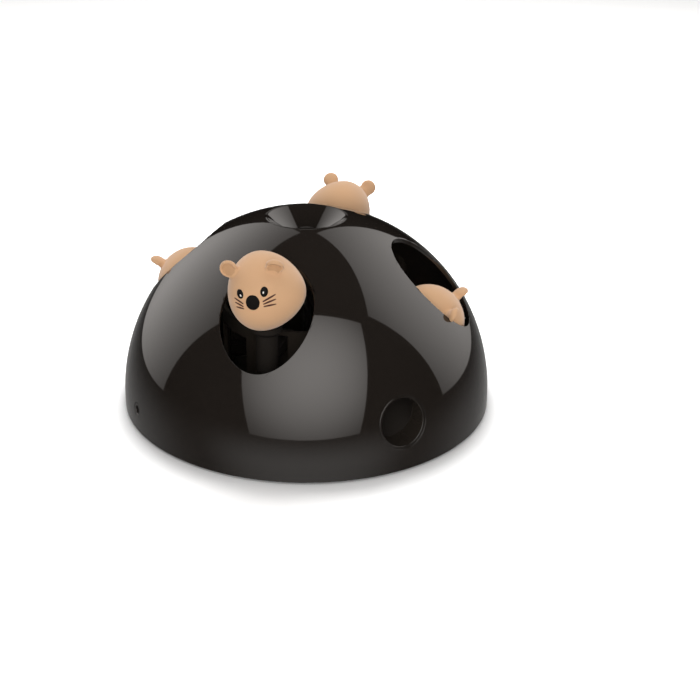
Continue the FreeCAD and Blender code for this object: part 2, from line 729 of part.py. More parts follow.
def guide_cage():
    """The cage round the cam: four slotted columns, open below the chute and at the motor."""
    inside = S.cage_inner
    outside = inside + S.cage_wall
    points = [(inside, base_top), (outside, base_top), (outside, S.cage_top), (inside, S.cage_top)]
    body = turned_body("guide_cage", points)
    lug = sketch_on(body, "XY_Plane", "cage_lug", lug_foot)
    disc(lug, lug_radius, *around(lug_circle, lug_angle))
    ring_of_four(body, pad(body, lug, lug_thickness))
    lug_hole = sketch_on(body, "XY_Plane", "cage_lug_hole", lug_foot + lug_thickness)
    disc(lug_hole, S.screw_radius + S.seam_gap, *around(lug_circle, lug_angle))
    ring_of_four(body, pocket(body, lug_hole, lug_thickness))
    window = sketch_on(body, "XZ_Plane", "cage_window_front", S.cage_inner - S.cage_wall * 2)
    half = S.chute_half_width + S.chute_wall * 2
    rectangle(window, (-half, S.cage_sill), (half, S.cage_window))
    opening = body.newObject("PartDesign::Pocket", "cage_window_cut")
    opening.Profile = (window, [""])
    opening.Reversed = True
    bind(opening, "Length", S.cage_wall * 6)
    ring_of_four(body, opening)
    notch = sketch_on(body, "XZ_Plane", "chute_notch", S.cage_inner - S.cage_wall * 2)
    rectangle(notch, (-half, S.cage_window - 1), (half, S.cage_top + 1))
    pocket(body, notch, S.cage_wall * 6, upward=True)
    motor_gap = sketch_on(body, "YZ_Plane", "motor_notch", S.cage_inner - S.cage_wall * 2)
    rectangle(motor_gap, (-(pinion_tip + 1), base_top - 1), (pinion_tip + 1, S.cage_sill + 1))
    pocket(body, motor_gap, S.cage_wall * 6, upward=True)
    slots = cut("guide_cage_slotted", body, *finger_slots())
    subparts.remove(body)
    body.Label = "guide_cage_body"
    return keep(slots, "guide_cage")


def finger_slots():
    """The upright slots that keep the plungers from turning."""
    made = []
    low = S.lowered_right - S.finger_drop - S.finger_radius - S.slot_gap
    high = S.raised_front - S.finger_drop + S.finger_depth + S.slot_gap * 5
    half = S.finger_radius + S.slot_gap
    for name, (angle, _) in MICE.items():
        slot = doc.addObject("Part::Box", f"{name}_slot")
        bind(slot, "Length", S.cage_wall * 6)
        bind(slot, "Width", half * 2)
        bind(slot, "Height", high - low)
        start = S.cage_inner - S.cage_wall * 2
        turn = angle - 90
        x = start * cosine(turn) + half * sine(turn)
        y = start * sine(turn) - half * cosine(turn)
        bind_place(slot, x, y, low, turn)
        made.append(slot)
    return made


def involute_gear(module, teeth, thickness, bore):
    """A spur gear blank whose flanks are involutes at 20 degrees, its first tooth on the X axis."""
    pitch = module * teeth / 2
    base = pitch * math.cos(math.radians(20))
    tip = pitch + module * 0.85
    foot = pitch - 1.25 * module
    half_tooth = math.pi / (2 * teeth) - 0.04 * module / pitch

    def spread(radius):
        angle = math.acos(min(base / radius, 1.0))
        return math.tan(angle) - angle

    rise = half_tooth + spread(pitch)
    radii = [max(foot, base) + (tip - max(foot, base)) * step / 3 for step in range(4)]
    flank = [(radius, rise - spread(radius)) for radius in radii]
    if foot < base:
        flank.insert(0, (foot, rise - spread(max(base, foot))))
    corners = []
    for tooth in range(teeth):
        middle = 2 * math.pi * tooth / teeth
        side = [(radius, middle - angle) for radius, angle in flank]
        side += [(radius, middle + angle) for radius, angle in reversed(flank)]
        corners += [Vector(r * math.cos(a), r * math.sin(a), 0) for r, a in side]
    blank = Part.Face(Part.makePolygon(corners + corners[:1])).extrude(Vector(0, 0, thickness))
    return blank.cut(Part.makeCylinder(bore, thickness))


def gears():
    """The drive gear under the cam, and the pinion that meshes with it at rest."""
    module = S.gear_module.value
    wheel = involute_gear(module, GEAR_TEETH, S.gear_thickness.value, bearing_clear.value)
    made = feature("drive_gear", wheel)
    bind_place(made, 0, 0, S.gear_height, 180.0 / GEAR_TEETH)
    keep(made, "drive_gear")
    small = involute_gear(module, PINION_TEETH, S.gear_thickness.value, S.drive_shaft_radius.value)
    made = feature("motor_pinion", small)
    bind_place(made, pinion_x, 0, S.gear_height - S.seam_gap)
    keep(made, "motor_pinion")
    foot = base_top + S.disc_lift
    shaft = cylinder("gearbox_shaft", S.drive_shaft_radius, gear_shaft_top - foot,
                     (pinion_x, 0, foot))
    keep(shaft, "gearbox_shaft")


def ramp(start_angle, start_height, end_height):
    """A quarter of the cam's ring under one straight ramp, from its foot to the ramp's surface."""
    steps = 6
    edges = []
    for radius in (S.cam_inner.value - 2, S.cam_outer.value + 2):
        points = []
        for step in range(steps + 1):
            angle = math.radians(start_angle - 90 + 90 * step / steps)
            height = start_height + (end_height - start_height) * step / steps
            points.append(Vector(radius * math.cos(angle), radius * math.sin(angle), height))
        curve = Part.BSplineCurve()
        curve.interpolate(points)
        edges.append(curve.toShape())
    surface = Part.makeRuledSurface(*edges)
    return surface.extrude(Vector(0, 0, -S.dome_radius.value))


def face_cam():
    """The face cam: two lobes of different height with straight ramps, on a web and a hub.

    A finger's middle rises evenly along each ramp, so the ramp lies below it by the finger's
    radius over the cosine of the steepest slope.
    """
    inner, outer = S.cam_inner.value, S.cam_outer.value
    heights = [getattr(S, word).value - S.finger_drop.value for _, word in MICE.values()]
    angles = [angle for angle, _ in MICE.values()]
    drops = [abs(a - b) for a, b in zip(heights, heights[1:] + heights[:1])]
    steepest = math.atan(max(drops) / (math.pi / 2) / inner)
    below = (S.finger_radius.value + S.cam_gap.value) / math.cos(steepest)
    ring = Part.makeCylinder(outer, S.dome_radius.value, Vector(0, 0, web_bottom.value))
    ring = ring.cut(Part.makeCylinder(inner, S.dome_radius.value, Vector(0, 0, web_bottom.value)))
    parts = []
    for angle, here, there in zip(angles, heights, heights[1:] + heights[:1]):
        parts.append(ring.common(ramp(angle, here - below, there - below)))
    web = [
        Part.makeCylinder(outer, S.cam_web.value, Vector(0, 0, web_bottom.value)),
        Part.makeCylinder(S.hub_radius.value, (S.cam_web + S.hub_height).value,
                          Vector(0, 0, web_bottom.value)),
    ]
    solid = parts[0].multiFuse(parts[1:] + web).removeSplitter()
    deep = bearing_top + S.disc_lift - web_bottom
    solid = solid.cut(Part.makeCylinder(bearing_clear.value, deep.value,
                                        Vector(0, 0, web_bottom.value)))
    solid = solid.cut(Part.makeCylinder(S.shaft_radius.value, S.dome_radius.value,
                                        Vector(0, 0, web_bottom.value)))
    for angle in BOSS_ANGLES:
        x, y = around((S.hub_radius + S.cam_inner) / 2, angle)
        hole = Part.makeCylinder(hub_window.value, S.dome_radius.value,
                                 Vector(x.value, y.value, 0))
        solid = solid.cut(hole)
    return keep(feature("face_cam", solid), "face_cam")


def feed_disc():
    """The disc that carries one treat at a time round to the drop hole."""
    lift = floor_top + S.disc_lift
    blank = cylinder("disc_blank", S.hopper_radius - S.disc_lift * 2, S.disc_height, (0, 0, lift))
    bore = cylinder("disc_bore", S.shaft_radius, S.disc_height, (0, 0, lift))
    hold = cylinder("disc_pocket", S.drop_radius, S.disc_height, (0, S.drop_circle, lift))
    return keep(cut("feed_disc", blank, bore, hold), "feed_disc")


def round_side(centre, start, end):
    """The arc between two points about a centre."""
    radius = (start - centre).Length
    middle = ((start - centre) + (end - centre)).normalize() * radius + centre
    return Part.Arc(start, middle, end).toShape()


def quarter_oval(end, radius):
    """A quarter of an oval from its end on the axis to its widest point, as two smooth arcs."""
    tip, crown = Vector(end, 0, 0), Vector(0, radius, 0)
    side = math.copysign(1.0, end)
    reach = abs(end)
    wide, narrow = max(reach, radius), min(reach, radius)
    if wide - narrow < 0.01:
        return [round_side(Vector(), tip, crown)]
    span = math.hypot(wide, narrow)
    tight = (wide * wide + narrow * narrow - (wide - narrow) * span) / (2 * wide)
    gentle = (wide * wide + narrow * narrow + (wide - narrow) * span) / (2 * narrow)
    if reach > radius:
        near_tip, near_crown = Vector(side * (reach - tight), 0, 0), Vector(0, radius - gentle, 0)
        join = near_tip + (near_tip - near_crown).normalize() * tight
    else:
        near_tip, near_crown = Vector(side * (reach - gentle), 0, 0), Vector(0, radius - tight, 0)
        join = near_crown + (near_crown - near_tip).normalize() * tight
    return [round_side(near_tip, tip, join), round_side(near_crown, join, crown)]


def oval_solid(long_end, short_end, radius):
    """An egg about its long axis, which lies along Y: two quarter ovals, turned."""
    edges = quarter_oval(long_end, radius) + quarter_oval(-short_end, radius)
    edges.append(Part.LineSegment(Vector(-short_end, 0, 0), Vector(long_end, 0, 0)).toShape())
    face = Part.Face(Part.Wire(Part.__sortEdges__(edges)))
    egg = face.revolve(Vector(), Vector(1, 0, 0), 360)
    egg.rotate(Vector(), Vector(0, 0, 1), 90)
    return egg


def bead(size, direction, sink, depth, tilt=0.0, gap=0.0):
    """An upright oval bead in the egg's surface, flat behind, and larger all round by a gap."""
    across, along = size
    place = surface_point(direction, sink)
    made = oval_solid(along + gap, along + gap, across + gap)
    made.rotate(Vector(), Vector(1, 0, 0), 90 + tilt)
    made.translate(place)
    ahead = Vector(*direction).normalize()
    reach = along * 4
    back = Part.makeBox(reach, reach, reach, Vector(-reach, -reach / 2, -reach / 2))
    back.Placement = Placement(surface_point(direction, depth + gap),
                               Rotation(Vector(1, 0, 0), ahead))
    return made.cut(back)


def surface_point(direction, sink):
    """A point below the egg's surface along a direction from its middle."""
    forward, left, up = direction
    reach = S.head_long.value if left > 0 else S.head_short.value
    across = S.head_radius.value
    scale = (forward / across) ** 2 + (left / reach) ** 2 + (up / across) ** 2
    point = Vector(forward, left, up) / math.sqrt(scale)
    return point - Vector(forward, left, up).normalize() * sink


def head_pieces():
    """A head with its nose and eyes, in the mouse's own axes: X ahead, Y to its left."""
    across, long_end, short_end = (
        S.head_radius.value, S.head_long.value, S.head_short.value
    )
    wall, inset = S.head_wall.value, S.inset_depth.value
    egg = oval_solid(long_end, short_end, across)
    inside = oval_solid(long_end - wall, short_end - wall, across - wall)
    for side, up in ((S.left_ear_side, S.left_ear_up), (-S.right_ear_side, S.right_ear_up)):
        place = Vector(S.ear_forward.value, side.value, up.value)
        thick = S.ear_half_thickness.value
        radius = S.ear_radius.value
        slab = Part.makeBox(thick * 2, radius * 2, radius * 2, Vector(-thick, -radius, -radius))
        ear = Part.makeSphere(radius).common(slab)
        ear = ear.cut(Part.makeSphere(radius, Vector(thick + radius * 0.72, 0, 0)))
        ear.translate(place)
        egg = egg.fuse(ear)
    gap = S.seam_gap.value
    nose_size = (S.nose_half_width.value, S.nose_half_height.value)
    eye_size = (S.eye_half_width.value, S.eye_half_height.value)
    nose_sink, eye_sink = S.nose_sink.value, S.eye_sink.value
    nose = bead(nose_size, NOSE_DIRECTION, nose_sink, inset)
    pockets = [bead(nose_size, NOSE_DIRECTION, nose_sink, inset, 0.0, gap)]
    eyes = []
    for direction, tilt in EYES:
        eyes.append(bead(eye_size, direction, eye_sink, inset, tilt))
        pockets.append(bead(eye_size, direction, eye_sink, inset, tilt, gap))
    turn = Rotation(Vector(0, 0, 1), S.head_turn.value) * Rotation(Vector(1, 0, 0),
                                                                   S.head_roll.value)
    set_down = Placement(Vector(0, -S.head_offset.value, 0), turn).toMatrix()
    egg, inside, nose = [shape.transformed(set_down) for shape in (egg, inside, nose)]
    eyes = [eye.transformed(set_down) for eye in eyes]
    reach = long_end * 2
    seat = S.head_seat.value
    below = Part.makeBox(reach * 2, reach * 2, reach, Vector(-reach, -reach, -reach - seat))
    plug = Part.makeBox(reach * 2, reach * 2, reach, Vector(-reach, -reach, -reach - seat + wall))
    socket = Part.makeCylinder(S.barrel_radius.value, wall * 2, Vector(0, 0, -seat - wall / 2))
    head = egg.cut(inside.cut(plug)).cut(below).cut(socket)
    for hollow in pockets:
        head = head.cut(hollow.transformed(set_down))
    return head, Part.makeCompound([nose]), Part.makeCompound(eyes)


def mice():
    """Four heads, each with its nose and eyes, on four plungers."""
    head, nose, eyes = head_pieces()
    for name, (angle, word) in MICE.items():
        height = getattr(S, word)
        x, y = around(S.mouse_circle, angle)
        for piece, shape in (("head", head), ("nose", nose), ("eyes", eyes)):
            made = feature(f"{name}_{piece}", shape.copy())
            bind_place(made, x, y, height, angle - 90)
            keep(made, f"{name}_{piece}")
        body = plunger(f"{name}_plunger")
        bind_place(body, x, y, height, angle - 90)


def plunger(name):
    """A barrel on its rod, a shoulder under the head and a finger that reaches in to the cam."""
    bore = S.rod_radius + S.slide_gap
    foot = -(S.finger_drop + S.finger_radius)
    shoulder = -S.head_seat
    under = shoulder - S.shoulder_height
    points = [
        (bore, foot),
        (S.barrel_radius, foot),
        (S.barrel_radius, under - (S.shoulder_radius - S.barrel_radius)),
        (S.shoulder_radius, under),
        (S.shoulder_radius, shoulder),
        (S.barrel_radius, shoulder),
        (S.barrel_radius, S.barrel_top),
        (bore, S.barrel_top),
    ]
    body = turned_body(name, points)
    length = S.finger_reach - (bore + S.barrel_radius) / 2
    rail = sketch_on(body, "YZ_Plane", f"{name}_rail", -S.finger_reach)
    rectangle(rail, (-S.finger_radius, -S.finger_drop),
              (S.finger_radius, -S.finger_drop + S.finger_depth))
    pad(body, rail, length)
    tip = sketch_on(body, "YZ_Plane", f"{name}_tip", -S.finger_reach)
    disc(tip, S.finger_radius, 0, -S.finger_drop)
    pad(body, tip, length)
    return body


def fixed_hardware():
    """Rods, feet, screws, shaft and bush."""
    group("guide_rods", *polar_cylinders("rod", S.rod_radius, S.rod_top - rod_foot,
                                         S.mouse_circle, (45, 135, 225, 315), rod_foot))
    feet = polar_cylinders("foot", S.foot_radius, S.base_height + S.foot_recess,
                           foot_circle, (45, 135, 225, 315), 0)
    group("rubber_feet", *feet)
    screws = []
    for number, angle in enumerate(POST_ANGLES):
        x, y = around(post_circle, angle)
        shank_start = S.base_height + cup_depth
        shank = cylinder(f"case_shank_{number}", S.screw_radius, S.post_radius * 2,
                         (x, y, shank_start))
        top = cylinder(f"case_head_{number}", S.screw_head, screw_cap,
                       (x, y, shank_start - screw_cap))
        screws.append(fused(f"case_screw_{number}", shank, top))
    group("case_screws", *screws)
    screws = []
    for number, angle in enumerate(BOSS_ANGLES):
        x, y = around(boss_circle, angle)
        shank = cylinder(f"hopper_shank_{number}", S.screw_radius, S.hopper_wall + S.post_radius,
                         (x, y, flange_height))
        top = cylinder(f"hopper_head_{number}", S.screw_head, screw_cap,
                       (x, y, flange_height - screw_cap))
        screws.append(fused(f"hopper_screw_{number}", shank, top))
    group("hopper_screws", *screws)
    screws = []
    for number, turn in enumerate(BOSS_ANGLES):
        x, y = around(lug_circle, lug_angle + turn)
        lug_top = lug_foot + lug_thickness
        shank = cylinder(f"cage_shank_{number}", S.screw_radius, lug_top - rod_foot,
                         (x, y, rod_foot))
        top = cylinder(f"cage_head_{number}", S.screw_head, screw_cap, (x, y, lug_top))
        screws.append(fused(f"cage_screw_{number}", shank, top))
    group("cage_screws", *screws)
    shaft_top = floor_top + S.disc_lift + S.disc_height + S.seam_gap * 4
    keep(cylinder("cam_shaft", S.shaft_radius, shaft_top - shaft_foot - S.seam_gap,
                  (0, 0, shaft_foot + S.seam_gap)), "cam_shaft")
    sleeve = cylinder("bush_sleeve", S.bush_radius, S.hopper_wall, (0, 0, hopper_floor))
    bore = cylinder("bush_bore", S.shaft_radius + S.slide_gap, S.hopper_wall,
                    (0, 0, hopper_floor))
    keep(cut("shaft_bush", sleeve, bore), "shaft_bush")


def motor_unit():
    """The gearbox on its pillars, the motor behind it and the strap over the motor."""
    start = pinion_x - gearbox_overhang
    case = block("gearbox_block", (start, -S.gearbox_half_width, S.gearbox_height),
                 (S.gearbox_length, S.gearbox_half_width * 2, S.gearbox_depth))
    bore = cylinder("gearbox_bore", S.drive_shaft_radius + S.slide_gap,
                    gear_shaft_top + 1 - S.gearbox_height, (pinion_x, 0, S.gearbox_height))
    keep(cut("gearbox", case, bore), "gearbox")
    can = cylinder("motor_can", S.motor_radius, S.motor_length, (gearbox_end, 0, motor_height), "X")
    boss = cylinder("motor_boss", S.motor_radius / 3, S.motor_radius / 5,
                    (gearbox_end + S.motor_length, 0, motor_height), "X")
    keep(fused("motor", can, boss), "motor")
    strap_top = motor_height + S.motor_radius + S.bay_wall
    form = block("strap_block", (saddle_start, -saddle_half, motor_height),
                 (saddle_length, saddle_half * 2, strap_top - motor_height))
    bed = cylinder("strap_bed", S.motor_radius, saddle_length, (saddle_start, 0, motor_height), "X")
    keep(cut("motor_strap", form, bed), "motor_strap")


def electronics():
    """The board on its bosses, the power socket and the power switch under the board."""
    board_top = S.board_height + S.board_thickness
    board = block("board_block", (-(S.board_start + S.board_length), -S.board_half_width,
                                  S.board_height),
                  (S.board_length, S.board_half_width * 2, S.board_thickness))
    keep(board, "circuit_board")
    nose_end = jack_surface - S.jack_recess
    body_start = jack_body_end - S.jack_body
    half = S.jack_height - board_top
    body = block("jack_block", (-jack_body_end, -half, board_top), (S.jack_body, half * 2, half * 2))
    nose = cylinder("jack_nose_form", S.jack_nose, nose_end - body_start - 1,
                    (-nose_end, 0, S.jack_height), "X")
    bore = cylinder("jack_bore_form", S.jack_bore, S.jack_depth, (-nose_end, 0, S.jack_height), "X")
    keep(cut("power_socket", fused("jack_form", body, nose), bore), "power_socket")
    pin = cylinder("socket_pin", S.jack_bore * 0.4, S.jack_depth - 1,
                   (-(nose_end - 1), 0, S.jack_height), "X")
    keep(pin, "socket_pin")
    switch_low = base_top + S.slot_gap
    case = block("switch_case", (-(S.switch_place + switch_half_width), -switch_half_length,
                                 switch_low),
                 (switch_half_width * 2, switch_half_length * 2, S.board_height - switch_low))
    room_half = S.switch_travel / 2 + knob_half_length + S.slot_gap
    room = block("switch_room", (-(S.switch_place + knob_half_width + S.slot_gap), -room_half,
                                 switch_low),
                 ((knob_half_width + S.slot_gap) * 2, room_half * 2, knob_rise + S.slot_gap))
    keep(cut("switch_body", case, room), "switch_body")
    knob_low = S.floor_gap
    knob = block("knob_block", (-(S.switch_place + knob_half_width),
                                -(S.switch_travel / 2 + knob_half_length), knob_low),
                 (knob_half_width * 2, knob_half_length * 2, switch_low + knob_rise - knob_low))
    keep(knob, "switch_knob")


def power():
    """Three cells side by side, their contacts, and the door under them."""
    cells = []
    plates = []
    spacing = (bay_end - S.bay_start) / 3
    for number in range(3):
        y = S.bay_start + spacing * (number + 0.5)
        side = -1 if number % 2 else 1
        tip = S.cell_radius * 0.38
        length = S.cell_length - 1
        start = -(S.cell_length / 2) if side > 0 else -(S.cell_length / 2 - 1)
        can = cylinder(f"cell_can_{number}", S.cell_radius, length, (start, y, cell_height), "X")
        knob_start = start + length if side > 0 else start - 1
        knob = cylinder(f"cell_tip_{number}", tip, 1, (knob_start, y, cell_height), "X")
        cells.append(fused(f"cell_{number}", can, knob))
        for end in (-1, 1):
            wide, thin = S.cell_radius * 0.8, S.seam_gap * 3
            plate = block(f"contact_{number}_{end}",
                          (bay_half * end - (thin if end > 0 else 0), y - wide, cell_height - wide),
                          (thin, wide * 2, wide * 2))
            reach = S.bay_slack - S.seam_gap * 4
            first = bay_half * end - reach if end > 0 else bay_half * end
            button = cylinder(f"contact_button_{number}_{end}", S.cell_radius * 0.3, reach,
                              (first, y, cell_height), "X")
            plates.append(fused(f"contact_pair_{number}_{end}", plate, button))
    group("battery_cells", *cells)
    group("battery_contacts", *plates)
    door = block("door_block", (-(door_half - S.seam_gap), door_start + S.seam_gap, S.base_height),
                 ((door_half - S.seam_gap) * 2, door_end - door_start - S.seam_gap * 2,
                  S.door_thickness))
    keep(door, "battery_door")


# Places worked out from the sizes

shaft_foot = S.base_height + S.seam_gap * 5
rod_foot = S.base_height + S.base_wall * 0.4
post_foot = base_top + S.base_wall
cup_depth = S.base_wall * 1.2
screw_cap = S.screw_head * 0.6
bearing_radius = S.shaft_radius * 2
bearing_clear = bearing_radius + S.disc_lift
bearing_top = S.boss_top
chute_cover = S.chute_height + S.chute_wall
tongue_end = outlet_seat - (hopper_floor - outlet_floor - chute_cover) / chute_rise + S.hopper_wall
chute_run = outlet_seat - S.shaft_radius - S.bush_radius / 2
lug_circle = S.cage_inner + S.cage_wall + S.screw_head + 0.5
lug_radius = S.screw_head + 1.5
lug_angle = 62.0
lug_foot = base_top + S.base_wall * 1.6
lug_thickness = S.cage_wall
hub_window = (S.cam_inner - S.hub_radius) * 0.36
pinion_tip = S.gear_module * (PINION_TEETH / 2 + 0.85)
pinion_x = S.gear_module * ((GEAR_TEETH + PINION_TEETH) / 2) + S.backlash
gear_shaft_top = S.gearbox_height + S.gearbox_depth * 0.6
gearbox_overhang = S.motor_radius * 0.6
gearbox_end = pinion_x - gearbox_overhang + S.gearbox_length
motor_height = S.gearbox_height + S.gearbox_depth / 2
pillar_x = gearbox_end - 5
pillar_y = S.gearbox_half_width * 0.65
pillar_radius = 3.0
saddle_start = gearbox_end + S.motor_length * 0.35
saddle_length = S.motor_length * 0.3
saddle_half = S.motor_radius + S.bay_wall
board_boss_radius = 2.5
board_boss_in = S.board_start + 4
board_boss_out = S.board_start + S.board_length - 4
board_boss_y = S.board_half_width - 4
knob_half_width = 1.2
knob_half_length = 1.5
knob_rise = 1.2
switch_half_width = 3.0
switch_half_length = 5.5
jack_surface = root(S.dome_radius * S.dome_radius
                    - (S.jack_height - dome_centre) * (S.jack_height - dome_centre))
jack_body_end = inner_radius - S.shell_wall * 1.4
bay_half = S.cell_length / 2 + S.bay_slack
bay_end = S.bay_start + S.cell_radius * 6 + S.seam_gap * 6
door_half = bay_half
door_start = S.bay_start
door_end = bay_end
cell_height = S.base_height + S.door_thickness + S.seam_gap * 2 + S.cell_radius
bay_top = cell_height + S.cell_radius + S.seam_gap * 2
NOSE_DIRECTION = (1.0, 0.20, 0.05)
EYES = (((1.0, 0.53, 0.29), 18.0), ((1.0, -0.13, 0.29), -18.0))


def main():
    dome_shell()
    funnel()
    hopper()
    chute()
    outlet_collar()
    base_plate()
    guide_cage()
    gears()
    face_cam()
    feed_disc()
    mice()
    fixed_hardware()
    motor_unit()
    electronics()
    power()
    doc.recompute()
    failed = [item.Name for item in doc.Objects if {"Invalid", "Error"} & set(item.State)]
    if failed:
        raise RuntimeError(f"these failed: {failed}")
    os.makedirs("parts", exist_ok=True)
    faulty = [item.Label for item in subparts if item.Shape.isNull() or not item.Shape.isValid()]
    if faulty:
        raise RuntimeError(f"these have no valid shape: {faulty}")
    for item in subparts:
        item.Shape.exportStep(os.path.join("parts", f"{item.Label}.step"))
        box = item.Shape.BoundBox
        print(f"{item.Label:22s} solids {len(item.Shape.Solids)} volume {item.Shape.Volume:10.1f} "
              f"z {box.ZMin:7.2f} {box.ZMax:7.2f}")


main()
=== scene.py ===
"""Looks of the mouse chase toy: a polished dome, four tan mice, their works, and the studio."""
import logging
import math
from collections.abc import Callable, Iterable, Iterator, Mapping
from contextlib import contextmanager
from dataclasses import dataclass, field
from enum import Enum

import bmesh
import bpy
from mathutils import Matrix, Vector


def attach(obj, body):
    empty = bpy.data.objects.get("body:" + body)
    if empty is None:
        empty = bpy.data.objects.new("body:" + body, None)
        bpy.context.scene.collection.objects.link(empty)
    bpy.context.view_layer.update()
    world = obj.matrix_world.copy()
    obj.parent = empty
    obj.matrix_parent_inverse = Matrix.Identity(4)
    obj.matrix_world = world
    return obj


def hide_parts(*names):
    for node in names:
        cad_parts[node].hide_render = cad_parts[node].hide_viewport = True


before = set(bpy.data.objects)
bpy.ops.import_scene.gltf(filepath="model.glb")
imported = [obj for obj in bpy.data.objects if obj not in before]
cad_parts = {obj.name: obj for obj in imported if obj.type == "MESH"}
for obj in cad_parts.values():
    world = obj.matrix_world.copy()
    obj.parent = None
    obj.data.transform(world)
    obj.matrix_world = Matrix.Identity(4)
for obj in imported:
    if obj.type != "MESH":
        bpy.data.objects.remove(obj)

MM = 0.001
CUT_TOLERANCE = 0.00001
# Sizes in mm that several pieces share: the dome's ball and the circle that the mice stand on.
DOME_RADIUS = 120.0
DOME_CENTRE = 4.8
MOUSE_CIRCLE = 80.7
Point = tuple[float, float, float]
LOG = logging.getLogger("mouse_chase_toy")
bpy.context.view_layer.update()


class Slot(Enum):
    """Names of the record's material slots, listed beside each mouse part but not used to dress new
    pieces.
    """

    DOME = "dome_plastic"
    MOUSE = "mouse_plastic"
    NOSE = "black_bead"
    EYE = "eye_bead"


class Pick(Enum):
    """What an edit selects."""

    POINTS = "VERT"
    EDGES = "EDGE"
    FACES = "FACE"


# Tools for the bench


def mm(*values: float) -> Vector:
    """A point or size given in millimetres, in metres."""
    return Vector(value * MM for value in values)


def linear(colour: str) -> tuple[float, float, float, float]:
    """An sRGB hex colour as linear red, green, blue and alpha.

    Args:
        colour: Six hex digits after a hash sign.

    Returns:
        The four numbers that a colour socket takes.
    """
    parts = [int(colour[place:place + 2], 16) / 255 for place in (1, 3, 5)]
    red, green, blue = (
        part / 12.92 if part <= 0.04045 else ((part + 0.055) / 1.055) ** 2.4 for part in parts
    )
    return red, green, blue, 1.0


def cleared(owner: bpy.types.Material | bpy.types.World) -> bpy.types.NodeTree:
    """Switches a material or world to nodes and empties its tree."""
    owner.use_nodes = True
    owner.node_tree.nodes.clear()
    return owner.node_tree


def per_mm(size: float) -> float:
    """The scale of a pattern in object coordinates whose features are that many mm wide."""
    return 1.0 / (size * MM)


def add_node(
    tree: bpy.types.NodeTree,
    kind: str,
    settings: Mapping[str | int, object] | None = None,
    links: Mapping[str | int, bpy.types.NodeSocket] | None = None,
) -> bpy.types.Node:
    """Adds one shader node with its settings and its incoming links.

    Args:
        tree: The node tree it goes into.
        kind: The node's type name.
        settings: Values of its inputs, by name or number, or of its own properties.
        links: The output sockets that feed its inputs.

    Returns:
        The new node.
    """
    node = tree.nodes.new(kind)
    for name, value in (settings or {}).items():
        if isinstance(name, str) and hasattr(node, name):
            setattr(node, name, value)
    for name, value in (settings or {}).items():
        if isinstance(name, int) or not hasattr(node, name):
            node.inputs[name].default_value = value
    for name, socket in (links or {}).items():
        tree.links.new(socket, node.inputs[name])
    return node


def select_only(*pieces: bpy.types.Object) -> None:
    """Selects these objects alone and makes the first one active."""
    bpy.ops.object.select_all(action="DESELECT")
    for piece in pieces:
        piece.select_set(True)
    bpy.context.view_layer.objects.active = pieces[0]


def added(name: str) -> bpy.types.Object:
    """Names the primitive that was just added and puts its place in its mesh."""
    piece = bpy.context.object
    piece.name = piece.data.name = name
    bpy.ops.object.transform_apply(location=True, rotation=True, scale=True)
    return piece


@contextmanager
def editing(piece: bpy.types.Object) -> Iterator[None]:
    """Edit mode on one piece, with nothing selected in it."""
    select_only(piece)
    bpy.ops.object.mode_set(mode="EDIT")
    bpy.ops.mesh.select_all(action="DESELECT")
    yield
    bpy.ops.object.mode_set(mode="OBJECT")


def resize(x: float, y: float, z: float, about: Iterable[float] = (0, 0, 0)) -> None:
    """Scales what is selected in edit mode about a point given in metres."""
    bpy.ops.transform.resize(value=(x, y, z), center_override=tuple(about))


def cut_off(point: Vector, ahead: Point) -> None:
    """Cuts off what lies behind a plane, in edit mode, and closes the cut."""
    bpy.ops.mesh.select_all(action="SELECT")
    bpy.ops.mesh.bisect(plane_co=point, plane_no=ahead, use_fill=True, clear_inner=True,
                        threshold=CUT_TOLERANCE)


def face_outwards() -> None:
    """Turns every face of the edited piece outwards."""
    bpy.ops.mesh.select_all(action="SELECT")
    bpy.ops.mesh.normals_make_consistent(inside=False)


def pick(piece: bpy.types.Object, what: Pick, test: Callable[..., bool]) -> int:
    """Selects the points, edges or faces of the edited piece that pass a test.

    Args:
        piece: The piece in edit mode.
        what: The kind of element to select.
        test: Takes a bmesh element and says whether it is selected.

    Returns:
        How many were selected.
    """
    bpy.ops.mesh.select_mode(type=what.value)
    bpy.ops.mesh.select_all(action="DESELECT")
    mesh = bmesh.from_edit_mesh(piece.data)
    rows = {Pick.POINTS: mesh.verts, Pick.EDGES: mesh.edges, Pick.FACES: mesh.faces}[what]
    found = [item for item in rows if test(item)]
    for item in found:
        item.select_set(True)
    bmesh.update_edit_mesh(piece.data)
    return len(found)


def carve(piece: bpy.types.Object, *tools: bpy.types.Object) -> None:
    """Cuts the tools out of a piece, one exact Boolean each, and deletes them."""
    for tool in tools:
        modifier = piece.modifiers.new("carve", "BOOLEAN")
        modifier.operation = "DIFFERENCE"
        modifier.solver = "EXACT"
        modifier.object = tool
        select_only(piece)
        bpy.ops.object.modifier_apply(modifier=modifier.name)
        bpy.data.objects.remove(tool)


def weld(piece: bpy.types.Object, *others: bpy.types.Object) -> bpy.types.Object:
    """Joins other pieces into the first one's mesh."""
    select_only(piece, *others)
    bpy.ops.object.join()
    return piece


def copied(piece: bpy.types.Object, name: str, place: Matrix) -> bpy.types.Object:
    """A copy with its own mesh, moved by a matrix that goes into the mesh."""
    twin = piece.copy()
    twin.data = piece.data.copy()
    twin.name = twin.data.name = name
    twin.data.transform(place)
    bpy.context.scene.collection.objects.link(twin)
    return twin


def smooth(piece: bpy.types.Object, angle: float = 35.0) -> None:
    """Shades a piece smooth, with edges sharper than an angle kept sharp."""
    select_only(piece)
    bpy.ops.object.shade_smooth_by_angle(angle=math.radians(angle))


